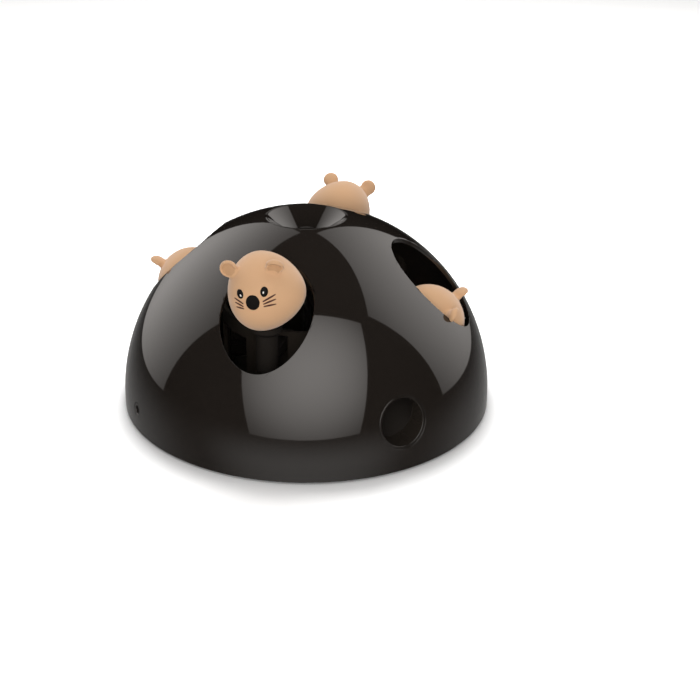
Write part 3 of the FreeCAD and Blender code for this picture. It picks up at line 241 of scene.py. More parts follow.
def upright(name: str, radius: float, low: float, high: float, x: float, y: float,
            sides: int = 48) -> bpy.types.Object:
    """An upright round tool or post, in mm, from one height to another."""
    bpy.ops.mesh.primitive_cylinder_add(
        vertices=sides, radius=radius * MM, depth=(high - low) * MM,
        location=mm(x, y, (low + high) / 2),
    )
    return added(name)


def along(name: str, radius: float, start: Vector, end: Vector, sides: int) -> bpy.types.Object:
    """A round tool or post between two points in metres."""
    run = end - start
    bpy.ops.mesh.primitive_cylinder_add(
        vertices=sides, radius=radius * MM, depth=run.length, location=(start + end) / 2,
        rotation=run.to_track_quat("Z", "Y").to_euler(),
    )
    return added(name)


def ring_spot(radius: float, angle: float) -> tuple[float, float]:
    """A place on a circle about the shaft, by its angle in degrees from the front."""
    turn = math.radians(angle)
    return radius * math.sin(turn), -radius * math.cos(turn)


def lathe(name: str, profile: list[tuple[float, float]], sides: int) -> bpy.types.Object:
    """A ring turned about the upright axis: a circle extruded and resized along a profile.

    Args:
        name: The piece's name.
        profile: Radius and height of each point in mm, once round the section.
        sides: Number of points in each circle.

    Returns:
        The closed ring.
    """
    radius, height = profile[0]
    bpy.ops.mesh.primitive_circle_add(vertices=sides, radius=radius * MM,
                                      location=mm(0, 0, height))
    piece = added(name)
    with editing(piece):
        bpy.ops.mesh.select_mode(type="EDGE")
        bpy.ops.mesh.select_all(action="SELECT")
        for wide, high in profile[1:]:
            bpy.ops.mesh.extrude_region_move(
                TRANSFORM_OT_translate={"value": mm(0, 0, high - height)})
            resize(wide / radius, wide / radius, 1.0, mm(0, 0, high))
            radius, height = wide, high
        pick(piece, Pick.EDGES, lambda edge: edge.is_boundary)
        bpy.ops.mesh.bridge_edge_loops()
        face_outwards()
    return piece


def curve_points(centre: tuple[float, float], radius: float, start: float, end: float,
                 steps: int) -> list[tuple[float, float]]:
    """Points of an arc in a lathe profile.

    Args:
        centre: Radius and height of the arc's centre in mm.
        radius: The arc's radius in mm.
        start: First angle in degrees, from outwards to upwards.
        end: Last angle in degrees.
        steps: Number of chords.

    Returns:
        Radius and height of each point.
    """
    points = []
    for step in range(steps + 1):
        angle = math.radians(start + (end - start) * step / steps)
        points.append((centre[0] + radius * math.cos(angle),
                       centre[1] + radius * math.sin(angle)))
    return points


# Finishes


@dataclass(frozen=True)
class Finish:
    """A finish with two close tones, a gloss that follows them and a fine relief.

    Sizes are in millimetres and colours are sRGB hex values.
    """

    name: str
    colour: str
    shade: str
    roughness: float
    spread: float = 0.03
    patch: float = 18.0
    grain: float = 0.5
    relief: float = 0.01
    ior: float = 1.5
    metallic: float = 0.0
    sheen: float = 0.0
    coat: float = 0.0
    stretch: Point = (1.0, 1.0, 1.0)

    def tone(self, tree: bpy.types.NodeTree, place: bpy.types.NodeSocket
             ) -> bpy.types.NodeSocket:
        """Where the surface has its second tone, from 0 to 1."""
        cloud = add_node(tree, "ShaderNodeTexNoise",
                         {"Scale": per_mm(self.patch), "Detail": 4.0, "Roughness": 0.55},
                         {"Vector": place})
        return cloud.outputs[0]

    def height(self, tree: bpy.types.NodeTree, place: bpy.types.NodeSocket
               ) -> bpy.types.NodeSocket:
        """The height of the fine relief, from 0 to 1."""
        grain = add_node(tree, "ShaderNodeTexNoise",
                         {"Scale": per_mm(self.grain), "Detail": 2.0, "Roughness": 0.5},
                         {"Vector": place})
        return grain.outputs[0]

    def material(self) -> bpy.types.Material:
        """Builds the finish as a node material.

        Returns:
            The new material.
        """
        made = bpy.data.materials.new(self.name)
        tree = cleared(made)
        coordinates = add_node(tree, "ShaderNodeTexCoord")
        mapping = add_node(tree, "ShaderNodeMapping", {"Scale": self.stretch},
                           {"Vector": coordinates.outputs["Object"]})
        place = mapping.outputs["Vector"]
        tone = self.tone(tree, place)
        colour = add_node(tree, "ShaderNodeMix",
                          {"data_type": "RGBA", 6: linear(self.colour), 7: linear(self.shade)},
                          {0: tone})
        gloss = add_node(tree, "ShaderNodeMapRange",
                         {"To Min": max(self.roughness - self.spread, 0.02),
                          "To Max": self.roughness + self.spread}, {"Value": tone})
        bump = add_node(tree, "ShaderNodeBump", {"Strength": 1.0, "Distance": self.relief * MM},
                        {"Height": self.height(tree, place)})
        shader = add_node(
            tree, "ShaderNodeBsdfPrincipled",
            {"IOR": self.ior, "Metallic": self.metallic, "Sheen Weight": self.sheen,
             "Sheen Roughness": 0.5, "Coat Weight": self.coat, "Coat Roughness": 0.05},
            {"Base Color": colour.outputs[2], "Roughness": gloss.outputs[0],
             "Normal": bump.outputs[0]},
        )
        add_node(tree, "ShaderNodeOutputMaterial", links={"Surface": shader.outputs[0]})
        return made


@dataclass(frozen=True)
class TurnedMetal(Finish):
    """Bright metal off a lathe or a cold-drawing die, with fine rings round or along it."""

    pitch: float = 0.35

    def height(self, tree: bpy.types.NodeTree, place: bpy.types.NodeSocket
               ) -> bpy.types.NodeSocket:
        """Fine parallel tool marks, one pitch apart."""
        marks = add_node(tree, "ShaderNodeTexWave",
                         {"bands_direction": "Z", "Scale": per_mm(self.pitch) / (2 * math.pi) * 2,
                          "Distortion": 1.5, "Detail": 2.0, "Detail Scale": 2.0},
                         {"Vector": place})
        return marks.outputs[1]


@dataclass(frozen=True)
class LacqueredBoard(Finish):
    """Green solder lacquer over copper: a grid of tracks stands a hair above the laminate."""

    pitch: float = 2.54
    run: int = 3
    track_edge: float = 0.82

    def tone(self, tree: bpy.types.NodeTree, place: bpy.types.NodeSocket
             ) -> bpy.types.NodeSocket:
        """Straight tracks in both directions, cut into runs by a chequer."""
        along_x = add_node(tree, "ShaderNodeTexWave",
                           {"bands_direction": "X", "Scale": per_mm(self.pitch) / 10},
                           {"Vector": place})
        along_y = add_node(tree, "ShaderNodeTexWave",
                           {"bands_direction": "Y", "Scale": per_mm(self.pitch) / 10},
                           {"Vector": place})
        chequer = add_node(tree, "ShaderNodeTexChecker",
                           {"Scale": per_mm(self.pitch * self.run)}, {"Vector": place})
        runs = add_node(tree, "ShaderNodeMix", {"data_type": "FLOAT"},
                        {0: chequer.outputs[1], 2: along_x.outputs[1], 3: along_y.outputs[1]})
        track = add_node(tree, "ShaderNodeMath",
                         {"operation": "GREATER_THAN", 1: self.track_edge},
                         {0: runs.outputs[0]})
        return track.outputs[0]

    def height(self, tree: bpy.types.NodeTree, place: bpy.types.NodeSocket
               ) -> bpy.types.NodeSocket:
        """The tracks stand up under the lacquer."""
        return self.tone(tree, place)


@dataclass(frozen=True)
class ShrinkSleeve(Finish):
    """Printed sleeve of a dry cell: a dark body and a copper band at one end of each cell."""

    band_start: float = 15.0

    def tone(self, tree: bpy.types.NodeTree, place: bpy.types.NodeSocket
             ) -> bpy.types.NodeSocket:
        """1 past the start of the band, along the cells."""
        axes = add_node(tree, "ShaderNodeSeparateXYZ", links={0: place})
        past = add_node(tree, "ShaderNodeMath",
                        {"operation": "GREATER_THAN", 1: self.band_start * MM},
                        {0: axes.outputs[0]})
        return past.outputs[0]


@dataclass(frozen=True)
class PolishedShell(Finish):
    """Injection-moulded ABS from a mirror-polished tool: near black with a faint warm cast.

    What the eye sees is mostly the studio in it. The reflections are clear-edged, with only a
    slow waver from the moulding and a few soft smears in the gloss.
    """

    waver: float = 38.0

    def height(self, tree: bpy.types.NodeTree, place: bpy.types.NodeSocket
               ) -> bpy.types.NodeSocket:
        """The slow sink of the moulding, far wider than it is deep."""
        swell = add_node(tree, "ShaderNodeTexNoise",
                         {"Scale": per_mm(self.waver), "Detail": 0.0}, {"Vector": place})
        return swell.outputs[0]


# ABS from a mirror-polished tool: black with a warm cast, reflections sharp and barely wavering.
GLOSS_ABS = PolishedShell("gloss_black_abs", "#1f1b18", "#221e1b", 0.045, spread=0.012,
                          patch=60.0, relief=0.004, ior=1.52)
# The same ABS from a spark-eroded tool: dead black, with a fine even sparkle of texture.
DULL_ABS = Finish("spark_textured_black_abs", "#2c2620", "#302a25", 0.9, spread=0.05, grain=0.35,
                  relief=0.02, ior=1.25)
# Black nylon of the sliding plungers: dense, waxy and almost without light of its own.
BLACK_NYLON = Finish("dense_black_nylon", "#181512", "#1c1815", 0.8, spread=0.05, grain=0.6,
                     relief=0.01, ior=1.25)
# The bore of the outlet: the same black ABS, wiped smooth, with long soft streaks.
SLICK_ABS = Finish("slick_black_abs", "#2a2520", "#2d2823", 0.24, spread=0.04, patch=30.0,
                   grain=4.0, relief=0.004, ior=1.5)
# The base and its door: a harder wearing black, slightly greyer, with a coarser tool texture.
BASE_ABS = Finish("textured_charcoal_abs", "#1d1a18", "#23201d", 0.85, spread=0.06, grain=0.7,
                  relief=0.04, ior=1.25)
# Tan paint with a rubbery matt touch: even, powdery and a little lighter where it turns away.
MATT_TAN = Finish("soft_touch_tan_paint", "#cfa37b", "#caa078", 0.7, spread=0.04, patch=9.0,
                  grain=0.28, relief=0.012, ior=1.4, sheen=0.3)
# The same tan made darker and browner in the dishes of the ears: painted shade in the hollows.
PAINTED_SHADE_TAN = Finish("soft_touch_tan_painted_shade", "#bd936c", "#b68d67", 0.75, spread=0.04,
                    patch=4.0, grain=0.28, relief=0.012, ior=1.4, sheen=0.2)
# Black pad-printed bead: a dense black that takes only a broad soft light.
BLACK_BEAD = Finish("satin_black_bead", "#0f0d0c", "#131110", 0.75, grain=0.5, relief=0.006,
                    ior=1.18)
# Lacquered eye: deep black with a soft silky light.
EYE_GLOSS = Finish("silk_black_eye_lacquer", "#080706", "#0c0a09", 0.5, grain=1.2,
                   relief=0.002, ior=1.2)
# Opaque white pad print of the spark in each eye.
SPARK_WHITE = Finish("white_pad_print", "#f4f0ea", "#eae4dc", 0.4, grain=0.3, relief=0.004)
# Brown pad-print ink of the whiskers, thin enough to let some tan through.
WHISKER_INK = Finish("brown_pad_print", "#3d1d13", "#4a2719", 0.7, patch=1.5, grain=0.3,
                     relief=0.004)
# Black acetal of the gears and the cam: as dark as the rest of the inside, waxy and dull.
ACETAL = Finish("black_acetal", "#1f1b17", "#24201b", 0.7, spread=0.05, patch=12.0,
                grain=0.6, relief=0.01, ior=1.3)
# Bright drawn steel of rods, shafts and screws: cool grey with fine marks round it.
BRIGHT_STEEL = TurnedMetal("bright_drawn_steel", "#b9b9b6", "#a5a5a3", 0.26, patch=6.0,
                           relief=0.004, metallic=1.0)
# Steel rods blackened against rust: nearly black, with a dull sheen along them.
BLACK_STEEL = TurnedMetal("blackened_steel", "#1c1a18", "#26231f", 0.5, patch=6.0,
                          relief=0.004, metallic=1.0)
# Sintered bronze of the bearing bush: dull gold with fine pores.
BRONZE = Finish("sintered_bronze", "#b08a52", "#8f6d3f", 0.42, spread=0.08, patch=2.0,
                grain=0.25, relief=0.02, metallic=1.0)
# Black nitrile of the feet: soft, dusty and dull.
RUBBER = Finish("black_nitrile_rubber", "#232221", "#2d2c2a", 0.78, spread=0.06, patch=3.0,
                grain=0.4, relief=0.03, ior=1.5)
# Green solder lacquer on the board, with lighter lines where copper runs under it.
BOARD_LACQUER = LacqueredBoard("green_solder_lacquer", "#1c5a38", "#2f7a4c", 0.3, spread=0.04,
                               relief=0.035, coat=0.3)
# Sleeve of the cells: black with a copper-coloured band at one end.
CELL_SLEEVE = ShrinkSleeve("printed_cell_sleeve", "#26282b", "#b0713b", 0.24, spread=0.02,
                           relief=0.004, grain=4.0)
# Nickel plate of the contacts and of the motor's can: warm grey and bright.
NICKEL = TurnedMetal("bright_nickel_plate", "#c8c2b6", "#b4aea2", 0.22,
                     patch=4.0, relief=0.003, metallic=1.0)
# Glass-filled nylon of the gearbox: dark blue-grey, dull, with a trace of fibre in its skin.
FILLED_NYLON = Finish("glass_filled_nylon", "#3a4147", "#454c52", 0.52, spread=0.06, patch=3.0,
                      grain=0.5, relief=0.02, stretch=(1.0, 0.35, 1.0))

NODES_OF_FINISH: tuple[tuple[Finish, str], ...] = (
    (DULL_ABS, "feed_hopper guide_cage switch_body"),
    (BLACK_NYLON, "treat_chute power_socket front_left_plunger front_right_plunger"
                  " rear_right_plunger rear_left_plunger"),
    (BASE_ABS, "base_plate battery_door motor_strap switch_knob"),
    (ACETAL, "face_cam drive_gear feed_disc motor_pinion"),
    (BRIGHT_STEEL, "case_screws hopper_screws cage_screws cam_shaft gearbox_shaft"),
    (NICKEL, "battery_contacts motor socket_pin"),
    (CELL_SLEEVE, "battery_cells"),
    (RUBBER, "rubber_feet"),
    (BLACK_STEEL, "guide_rods"),
    (BRONZE, "shaft_bush"),
    (FILLED_NYLON, "gearbox"),
    (BOARD_LACQUER, "circuit_board"),
)


class Palette:
    """Every finish as a material, made once and shared."""

    def __init__(self) -> None:
        """Starts with no material made."""
        self.made: dict[str, bpy.types.Material] = {}

    def get(self, finish: Finish) -> bpy.types.Material:
        """The material of a finish, built the first time it is asked for."""
        if finish.name not in self.made:
            self.made[finish.name] = finish.material()
        return self.made[finish.name]

    def dress(self, piece: bpy.types.Object, *finishes: Finish) -> None:
        """Gives a new piece its materials, in the order of its faces' numbers."""
        piece.data.materials.clear()
        for finish in finishes:
            piece.data.materials.append(self.get(finish))

    def dress_nodes(self, finishes: Iterable[tuple[Finish, str]]) -> None:
        """Puts finishes on the material slots of the construction's own nodes."""
        for finish, names in finishes:
            for name in names.split():
                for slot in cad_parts[name].material_slots:
                    slot.material = self.get(finish)


# The pieces


@dataclass
class DomeShell:
    """The polished dome with its four mouse holes, outlet, socket hole and funnel ledge."""

    radius: float = DOME_RADIUS
    wall: float = 2.5
    centre: float = DOME_CENTRE
    edge: float = 1.2
    hole_deep: float = 25.05
    hole_wide: float = 27.4
    hole_foot: float = 20.2
    tool_reach: float = 120.0
    rim_tool_reach: float = 20.0
    side_tool: tuple[float, float] = (-90.0, -130.0)
    rim_radius: float = 25.7
    ledge: float = 3.0
    lip_seat: float = 1.6
    seat: float = 2.4
    outlet_height: float = 30.5
    outlet_radius: float = 15.65
    jack_height: float = 15.1
    jack_radius: float = 4.65
    rim_round: float = 0.5
    small_round: float = 0.35
    small_holes_top: float = 48.0
    sharp_from: float = 12.0
    merge_gap: float = 0.3
    ball_gap: float = 0.04
    inside_gap: float = 0.05
    ball_facing: float = 0.8
    hollow_past: float = 1.0
    ledge_past: float = 5.0
    post_radius: float = 4.5
    post_circle: float = 102.0
    post_angles: tuple[float, ...] = (70, 110, 250, 290)
    post_foot: float = 7.0
    post_top: float = 80.0
    boss_circle: float = 39.5
    boss_foot: float = 108.02
    boss_top: float = 125.0
    segments: int = 224

    @property
    def rim_top(self) -> float:
        """The height at which the funnel's opening meets the outside of the dome, in mm."""
        return math.sqrt(self.radius ** 2 - self.rim_radius ** 2) + self.centre

    def half_ball(self, name: str, radius: float, foot: float) -> bpy.types.Object:
        """A half ball on a straight skirt, closed below.

        Args:
            name: The piece's name.
            radius: Its radius in mm.
            foot: The height of its underside in mm.

        Returns:
            The closed form.
        """
        bpy.ops.mesh.primitive_uv_sphere_add(segments=self.segments,
                                             ring_count=self.segments // 2,
                                             radius=radius * MM, location=mm(0, 0, self.centre))
        form = added(name)
        with editing(form):
            cut_off(mm(0, 0, self.centre), (0, 0, 1))
            pick(form, Pick.FACES, lambda face: face.normal.z < -0.99)
            bpy.ops.mesh.extrude_region_move(
                TRANSFORM_OT_translate={"value": mm(0, 0, foot - self.centre)})
        return form

    def holes(self) -> list[bpy.types.Object]:
        """The tools for the mouse holes, the funnel's opening, the outlet and the socket."""
        tools = []
        for number in range(4):
            x, y = ring_spot(MOUSE_CIRCLE, -45 + 90 * number)
            bpy.ops.mesh.primitive_cylinder_add(
                vertices=144, radius=MM, depth=self.tool_reach * MM,
                location=mm(x, y, self.hole_foot + self.tool_reach / 2),
                rotation=(0, 0, math.radians(-135 + 90 * number)))
            tool = bpy.context.object
            tool.scale = (self.hole_deep, self.hole_wide, 1.0)
            tools.append(added(f"hole_tool_{number}"))
        ledge, opening = self.rim_top - self.ledge, self.rim_radius - self.lip_seat
        high, low = ledge + self.rim_tool_reach, ledge - self.rim_tool_reach
        tools.append(lathe("rim_tool", [(self.rim_radius, ledge), (self.rim_radius, high),
                                        (0.01, high), (0.01, low), (opening, low),
                                        (opening, ledge)], 192))
        near, far = self.side_tool
        tools.append(along("outlet_tool", self.outlet_radius, mm(0, near, self.outlet_height),
                           mm(0, far, self.outlet_height), 128))
        tools.append(along("jack_tool", self.jack_radius, mm(near, 0, self.jack_height),
                           mm(far, 0, self.jack_height), 64))
        return tools

    def cavity(self) -> bpy.types.Object:
        """The hollow of the dome, less its posts, its bosses and the ring under the funnel."""
        hollow = self.half_ball("dome_hollow", self.radius - self.wall,
                                self.edge - self.hollow_past)
        kept = [upright("ledge_ring", self.rim_radius + self.seat * 2,
                        self.rim_top - self.ledge - self.seat,
                        self.rim_top + self.ledge_past, 0, 0, 128)]
        for angle in self.post_angles:
            kept.append(upright("screw_post", self.post_radius, self.post_foot, self.post_top,
                                *ring_spot(self.post_circle, angle)))
        for angle in (0, 90, 180, -90):
            kept.append(upright("hopper_boss", self.post_radius, self.boss_foot, self.boss_top,
                                *ring_spot(self.boss_circle, angle)))
        carve(hollow, *kept)
        return hollow

    def on_ball(self, point: Vector) -> bool:
        """Whether a point lies on the outside of the dome's ball."""
        reach = (point - mm(0, 0, self.centre)).length
        return point.z > self.centre * MM and abs(reach - self.radius * MM) < self.ball_gap * MM

    def round_rims(self, dome: bpy.types.Object) -> None:
        """Rounds the edges where the holes meet the polished outside."""
        def is_rim(edge: bmesh.types.BMEdge, high: bool) -> bool:
            """A sharp edge whose two ends lie on the ball, above or below a height."""
            return (len(edge.link_faces) == 2 and all(self.on_ball(v.co) for v in edge.verts)
                    and (edge.verts[0].co.z > self.small_holes_top * MM) == high
                    and edge.calc_face_angle(0.0) > math.radians(self.sharp_from))

        with editing(dome):
            for high, width in ((True, self.rim_round), (False, self.small_round)):
                pick(dome, Pick.EDGES, lambda edge, high=high: is_rim(edge, high))
                bpy.ops.mesh.remove_doubles(threshold=self.merge_gap * MM)
                count = pick(dome, Pick.EDGES, lambda edge, high=high: is_rim(edge, high))
                bpy.ops.mesh.bevel(offset=width * MM, offset_type="OFFSET", segments=3,
                                   affect="EDGES", clamp_overlap=False)
                LOG.info("dome: %d rim edges rounded", count)

    def polish(self, dome: bpy.types.Object) -> None:
        """Sets the exact normals of the ball, so that reflections run without facets."""
        smooth(dome, 30)
        mesh = dome.data
        normals = [corner.vector.copy() for corner in mesh.corner_normals]
        middle = mm(0, 0, self.centre)
        for face in mesh.polygons:
            for corner in face.loop_indices:
                point = mesh.vertices[mesh.loops[corner].vertex_index].co
                exact = (point - middle).normalized()
                if self.on_ball(point) and face.normal.dot(exact) > self.ball_facing:
                    normals[corner] = exact
        mesh.normals_split_custom_set(normals)

    def build(self, palette: Palette) -> bpy.types.Object:
        """Builds and dresses the dome.

        Args:
            palette: The materials.

        Returns:
            The finished piece.
        """
        dome = self.half_ball("polished_dome", self.radius, self.edge)
        carve(dome, self.cavity(), *self.holes())
        self.round_rims(dome)
        self.polish(dome)
        palette.dress(dome, GLOSS_ABS, DULL_ABS)
        middle = mm(0, 0, self.centre)
        inside = (self.radius - self.wall + self.inside_gap) * MM
        for face in dome.data.polygons:
            face.material_index = int((face.center - middle).length < inside)
        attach(dome, "housing")
        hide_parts("dome_shell")
        return dome


@dataclass
class TreatFunnel:
    """The polished bowl in the top of the dome: a thin round rim, a cone and a short spout."""

    lip: float = 25.55
    top: float = 122.02
    ledge: float = 119.02
    body: float = 23.95
    throat: float = 12.0
    wall: float = 1.8
    cone_foot: float = 110.72
    spout: float = 103.02
    slope: float = 41.6
    rim_round: float = 0.6
    foot_round: float = 0.4
    step: float = 0.15
    flare: float = 0.3
    flare_top: float = 0.6
    flare_foot: float = 1.1

    def build(self, palette: Palette) -> bpy.types.Object:
        """Turns and dresses the funnel.

        Args:
            palette: The materials.

        Returns:
            The finished piece.
        """
        turned = 90 + self.slope
        tangent = self.foot_round * math.tan(math.radians(90 - self.slope) / 2)
        foot = curve_points((self.throat + self.foot_round, self.cone_foot - tangent),
                            self.foot_round, 180, turned, 5)
        rim = curve_points((self.lip - self.rim_round, self.top - self.rim_round),
                           self.rim_round, turned, 0, 8)
        outer = self.throat + self.wall
        profile = [(self.throat, self.spout), *foot, *rim, (self.lip, self.ledge),
                   (self.body, self.ledge), (self.body, self.ledge - self.step),
                   (outer + self.flare, self.cone_foot - self.flare_top),
                   (outer, self.cone_foot - self.flare_foot), (outer, self.spout)]
        funnel = lathe("treat_funnel_bowl", profile, 192)
        smooth(funnel, 40)
        palette.dress(funnel, GLOSS_ABS)
        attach(funnel, "housing")
        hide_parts("treat_funnel")
        return funnel


@dataclass
class RoundCollar:
    """A straight tube set in a hole of the dome, whose round end follows the dome."""

    name: str
    bore: float
    wall: float
    height: float
    seat: float
    heading: float = 0.0
    recess: float = 0.4
    end_round: float = 0.4
    bore_start: float = 2.0
    lining_start: float = 1.5
    sides: int = 144

    def face_depth(self, point: Vector, sunk: float) -> float:
        """How far out a ball that is sunk under the dome stands at a point, in metres."""
        radius = (DOME_RADIUS - sunk) * MM
        up = point.z - DOME_CENTRE * MM
        return math.sqrt(max(radius ** 2 - point.x ** 2 - up ** 2, 0.0))

    def build(self, palette: Palette, lining: Finish) -> bpy.types.Object:
        """Makes the collar as a lathed ring whose front is then laid under the dome's surface.

        Args:
            palette: The materials.
            lining: The finish of the bore.

        Returns:
            The finished piece.
        """
        outer, soft = self.bore + self.wall, self.end_round
        front = [*curve_points((self.bore + soft, 0), soft, 180, 90, 4),
                 *curve_points((outer - soft, 0), soft, 90, 0, 4)]
        profile = [(self.bore, -self.seat), (self.bore, -self.bore_start), *front,
                   (outer, -self.seat)]
        collar = lathe(self.name, profile, self.sides)
        collar.data.transform(Matrix.Translation(mm(0, 0, self.height))
                              @ Matrix.Rotation(math.radians(90), 4, "X"))
        for vertex in collar.data.vertices:
            ahead = -vertex.co.y / MM
            if ahead < -self.seat / 2:
                vertex.co.y = -self.seat * MM
            else:
                vertex.co.y = -self.face_depth(vertex.co, self.recess + soft - ahead)
        smooth(collar, 40)
        palette.dress(collar, GLOSS_ABS, lining)
        for face in collar.data.polygons:
            inward = Vector((face.center.x, 0, face.center.z - self.height * MM))
            deep = -face.center.y < self.face_depth(face.center, self.lining_start)
            face.material_index = int(inward.dot(face.normal) < 0 and deep)
        collar.data.transform(Matrix.Rotation(math.radians(self.heading), 4, "Z"))
        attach(collar, "housing")
        return collar


@dataclass(frozen=True)
class Ear:
    """Where an ear's middle lies in the egg's axes, in mm, and where its dish looks."""

    place: Point
    facing: Point


@dataclass(frozen=True)
class Eye:
    """An oval eye: its direction from the egg's middle, its lean, its size and its spark."""

    direction: Point
    tilt: float
    half_width: float
    half_height: float
    spark: Point


@dataclass
class MouseHead:
    """One mouse face, modelled once in its own axes: X ahead, Y to its left, Z up."""

    across: float = 22.9
    long_end: float = 26.5
    short_end: float = 18.3
    offset: float = 3.1
    drop: float = 0.6
    turn: float = -2.4
    roll: float = 5.5
    seat: float = 21.5
    taper: float = 0.2
    voxel: float = 0.62
    smoothings: int = 6
    ears: tuple[Ear, ...] = (Ear((11.3, 14.7, 19.3), (0.70, 0.05, -0.712)),
                             Ear((13.9, -12.2, 17.8), (0.981, 0.086, -0.174)))
    ear_radius: float = 5.3
    ear_flatness: float = 0.56
    dish_width: float = 0.8
    dish_flatness: float = 0.1
    # Width, depth and facing of the dish faces that take the darker tan of painted shade.
    hollow_width: float = 0.72
    hollow_depth: tuple[float, float] = (-0.1, 0.5)
    hollow_facing: float = 0.3
    root_nearness: float = 0.86
    root_shape: Point = (0.5, 0.86, 0.86)
    sights: tuple[Eye, ...] = (
        Eye((1.0, 0.505, 0.355), -14.0, 2.7, 3.4, (1.0, 0.475, 0.333)),
        Eye((1.0, -0.155, 0.275), 25.0, 2.5, 3.25, (1.0, -0.135, 0.243)),
    )
    eye_proud: float = 0.55
    spark_size: tuple[float, float] = (0.72, 1.15)
    spark_proud: float = 0.85
    nose_direction: Point = (1.0, 0.165, 0.06)
    nose_size: tuple[float, float] = (3.95, 4.3)
    nose_proud: float = 1.1
    bead_sink: float = 1.6
    bead_swell: float = 1.12
    bead_foot: float = 0.2
    whiskers: tuple[tuple[Point, Point, Point], ...] = (
        ((21.2, 9.1, 1.6), (19.64, 12.2, 3.2), (17.58, 15.2, 4.8)),
        ((21.15, 9.2, 0.1), (19.75, 12.2, 1.1), (17.94, 15.2, 2.0)),
        ((21.08, 9.2, -1.35), (19.73, 12.1, -1.1), (18.0, 15.0, -1.0)),
        ((23.16, -1.8, 0.6), (22.62, -4.6, 2.1), (21.27, -7.8, 3.3)),
        ((23.12, -1.9, -1.1), (22.72, -4.5, 0.0), (21.61, -7.5, 0.8)),
        ((23.03, -1.7, -2.4), (22.68, -4.2, -2.05), (21.73, -7.0, -1.95)),
    )
    whisker_radius: float = 0.5
    whisker_width: tuple[float, float] = (0.45, 0.75)
    whisker_taper: tuple[float, float] = (0.8, 0.12)
    whisker_height: float = 0.6
    whisker_sink: float = 0.1
    whisker_steps: int = 10
    patterns: dict[str, bpy.types.Object] = field(default_factory=dict)

    def set_down(self) -> Matrix:
        """From the egg's own axes to the axes of its plunger."""
        return (Matrix.Translation(mm(0, -self.offset, -self.drop))
                @ Matrix.Rotation(math.radians(self.turn), 4, "Z")
                @ Matrix.Rotation(math.radians(self.roll), 4, "X"))

    def narrowed(self, point: Vector) -> Vector:
        """A point of the plain egg, drawn in towards the pointed end."""
        share = max(point.y / (self.long_end * MM), 0.0)
        factor = 1 - self.taper * share ** 2
        return Vector((point.x * factor, point.y, point.z * factor))

    def skin(self, direction: Iterable[float], sink: float = 0.0) -> Vector:
        """A point of the egg's surface along a direction, in metres, less a depth in mm."""
        way = Vector(direction)
        reach = self.long_end if way.y > 0 else self.short_end
        scale = math.sqrt((way.x / self.across) ** 2 + (way.y / reach) ** 2
                          + (way.z / self.across) ** 2)
        return self.narrowed(way / scale * MM) - way.normalized() * sink * MM

    def egg(self) -> bpy.types.Object:
        """The egg: a ball stretched to its long end and pressed to its blunt end."""
        bpy.ops.mesh.primitive_uv_sphere_add(segments=96, ring_count=64,
                                             radius=self.across * MM)
        egg = added("mouse_egg")
        with editing(egg):
            for side, end in ((1, self.long_end), (-1, self.short_end)):
                pick(egg, Pick.POINTS, lambda point, side=side: point.co.y * side > 1e-6)
                resize(1, end / self.across, 1)
        for vertex in egg.data.vertices:
            vertex.co = self.narrowed(vertex.co)
        return egg

    def stand(self, facing: Point) -> Matrix:
        """Turns a piece that faces along X to another direction, upright as before."""
        aim = Vector(facing).normalized()
        side = Vector((0, 0, 1)).cross(aim).normalized()
        return Matrix((aim, side, aim.cross(side))).transposed().to_4x4()

    def ear(self, ear: Ear) -> bpy.types.Object:
        """A round thick ear with a shallow dish in its face, and a flat root below it.

        Args:
            ear: Its place and the way it faces.

        Returns:
            The ear, not yet run into the egg.
        """
        radius = self.ear_radius * MM
        bpy.ops.mesh.primitive_uv_sphere_add(segments=48, ring_count=32, radius=radius)
        lobe = added("mouse_ear")
        with editing(lobe):
            bpy.ops.mesh.select_all(action="SELECT")
            resize(self.ear_flatness, 1.0, 1.0)
            pick(lobe, Pick.POINTS, lambda point: point.co.x > 0 and math.hypot(
                point.co.y, point.co.z) < radius * self.dish_width)
            resize(self.dish_flatness, 1.0, 1.0)
            face_outwards()
        lobe.data.transform(Matrix.Translation(mm(*ear.place)) @ self.stand(ear.facing))
        bpy.ops.mesh.primitive_uv_sphere_add(segments=32, ring_count=24, radius=radius)
        root = added("ear_root")
        root.data.transform(Matrix.Translation(mm(*ear.place) * self.root_nearness)
                            @ self.stand(ear.facing)
                            @ Matrix.Diagonal((*self.root_shape, 1.0)))
        return weld(lobe, root)

    def paint_dish_shade(self, head: bpy.types.Object, ear: Ear) -> None:
        """Gives the faces in an ear's dish the darker tan that stands for painted shade in the hollow.
        """
        to_ear = (self.set_down() @ Matrix.Translation(mm(*ear.place))
                  @ self.stand(ear.facing)).inverted()
        for face in head.data.polygons:
            spot = to_ear @ face.center / (self.ear_radius * MM)
            look = to_ear.to_3x3() @ face.normal
            inside = (math.hypot(spot.y, spot.z) < self.hollow_width
                      and self.hollow_depth[0] < spot.x < self.hollow_depth[1])
            if inside and look.x > self.hollow_facing:
                face.material_index = 1

    def head(self, palette: Palette) -> bpy.types.Object:
        """The egg and both ears run together in one skin, with its flat seat below."""
        head = weld(self.egg(), *[self.ear(ear) for ear in self.ears])
        head.name = "mouse_head"
        skin = head.modifiers.new("skin", "REMESH")
        skin.mode = "VOXEL"
        skin.voxel_size = self.voxel * MM
        select_only(head)
        bpy.ops.object.modifier_apply(modifier=skin.name)
        ease = head.modifiers.new("ease", "SMOOTH")
        ease.factor = 0.5
        ease.iterations = self.smoothings
        bpy.ops.object.modifier_apply(modifier=ease.name)
        head.data.transform(self.set_down())
        with editing(head):
            cut_off(mm(0, 0, -self.seat), (0, 0, 1))
        smooth(head, 50)
        palette.dress(head, MATT_TAN, PAINTED_SHADE_TAN)
        # Each ear's dish takes the darker tan: painted shade in the hollow.
        for ear in self.ears:
            self.paint_dish_shade(head, ear)
        return head

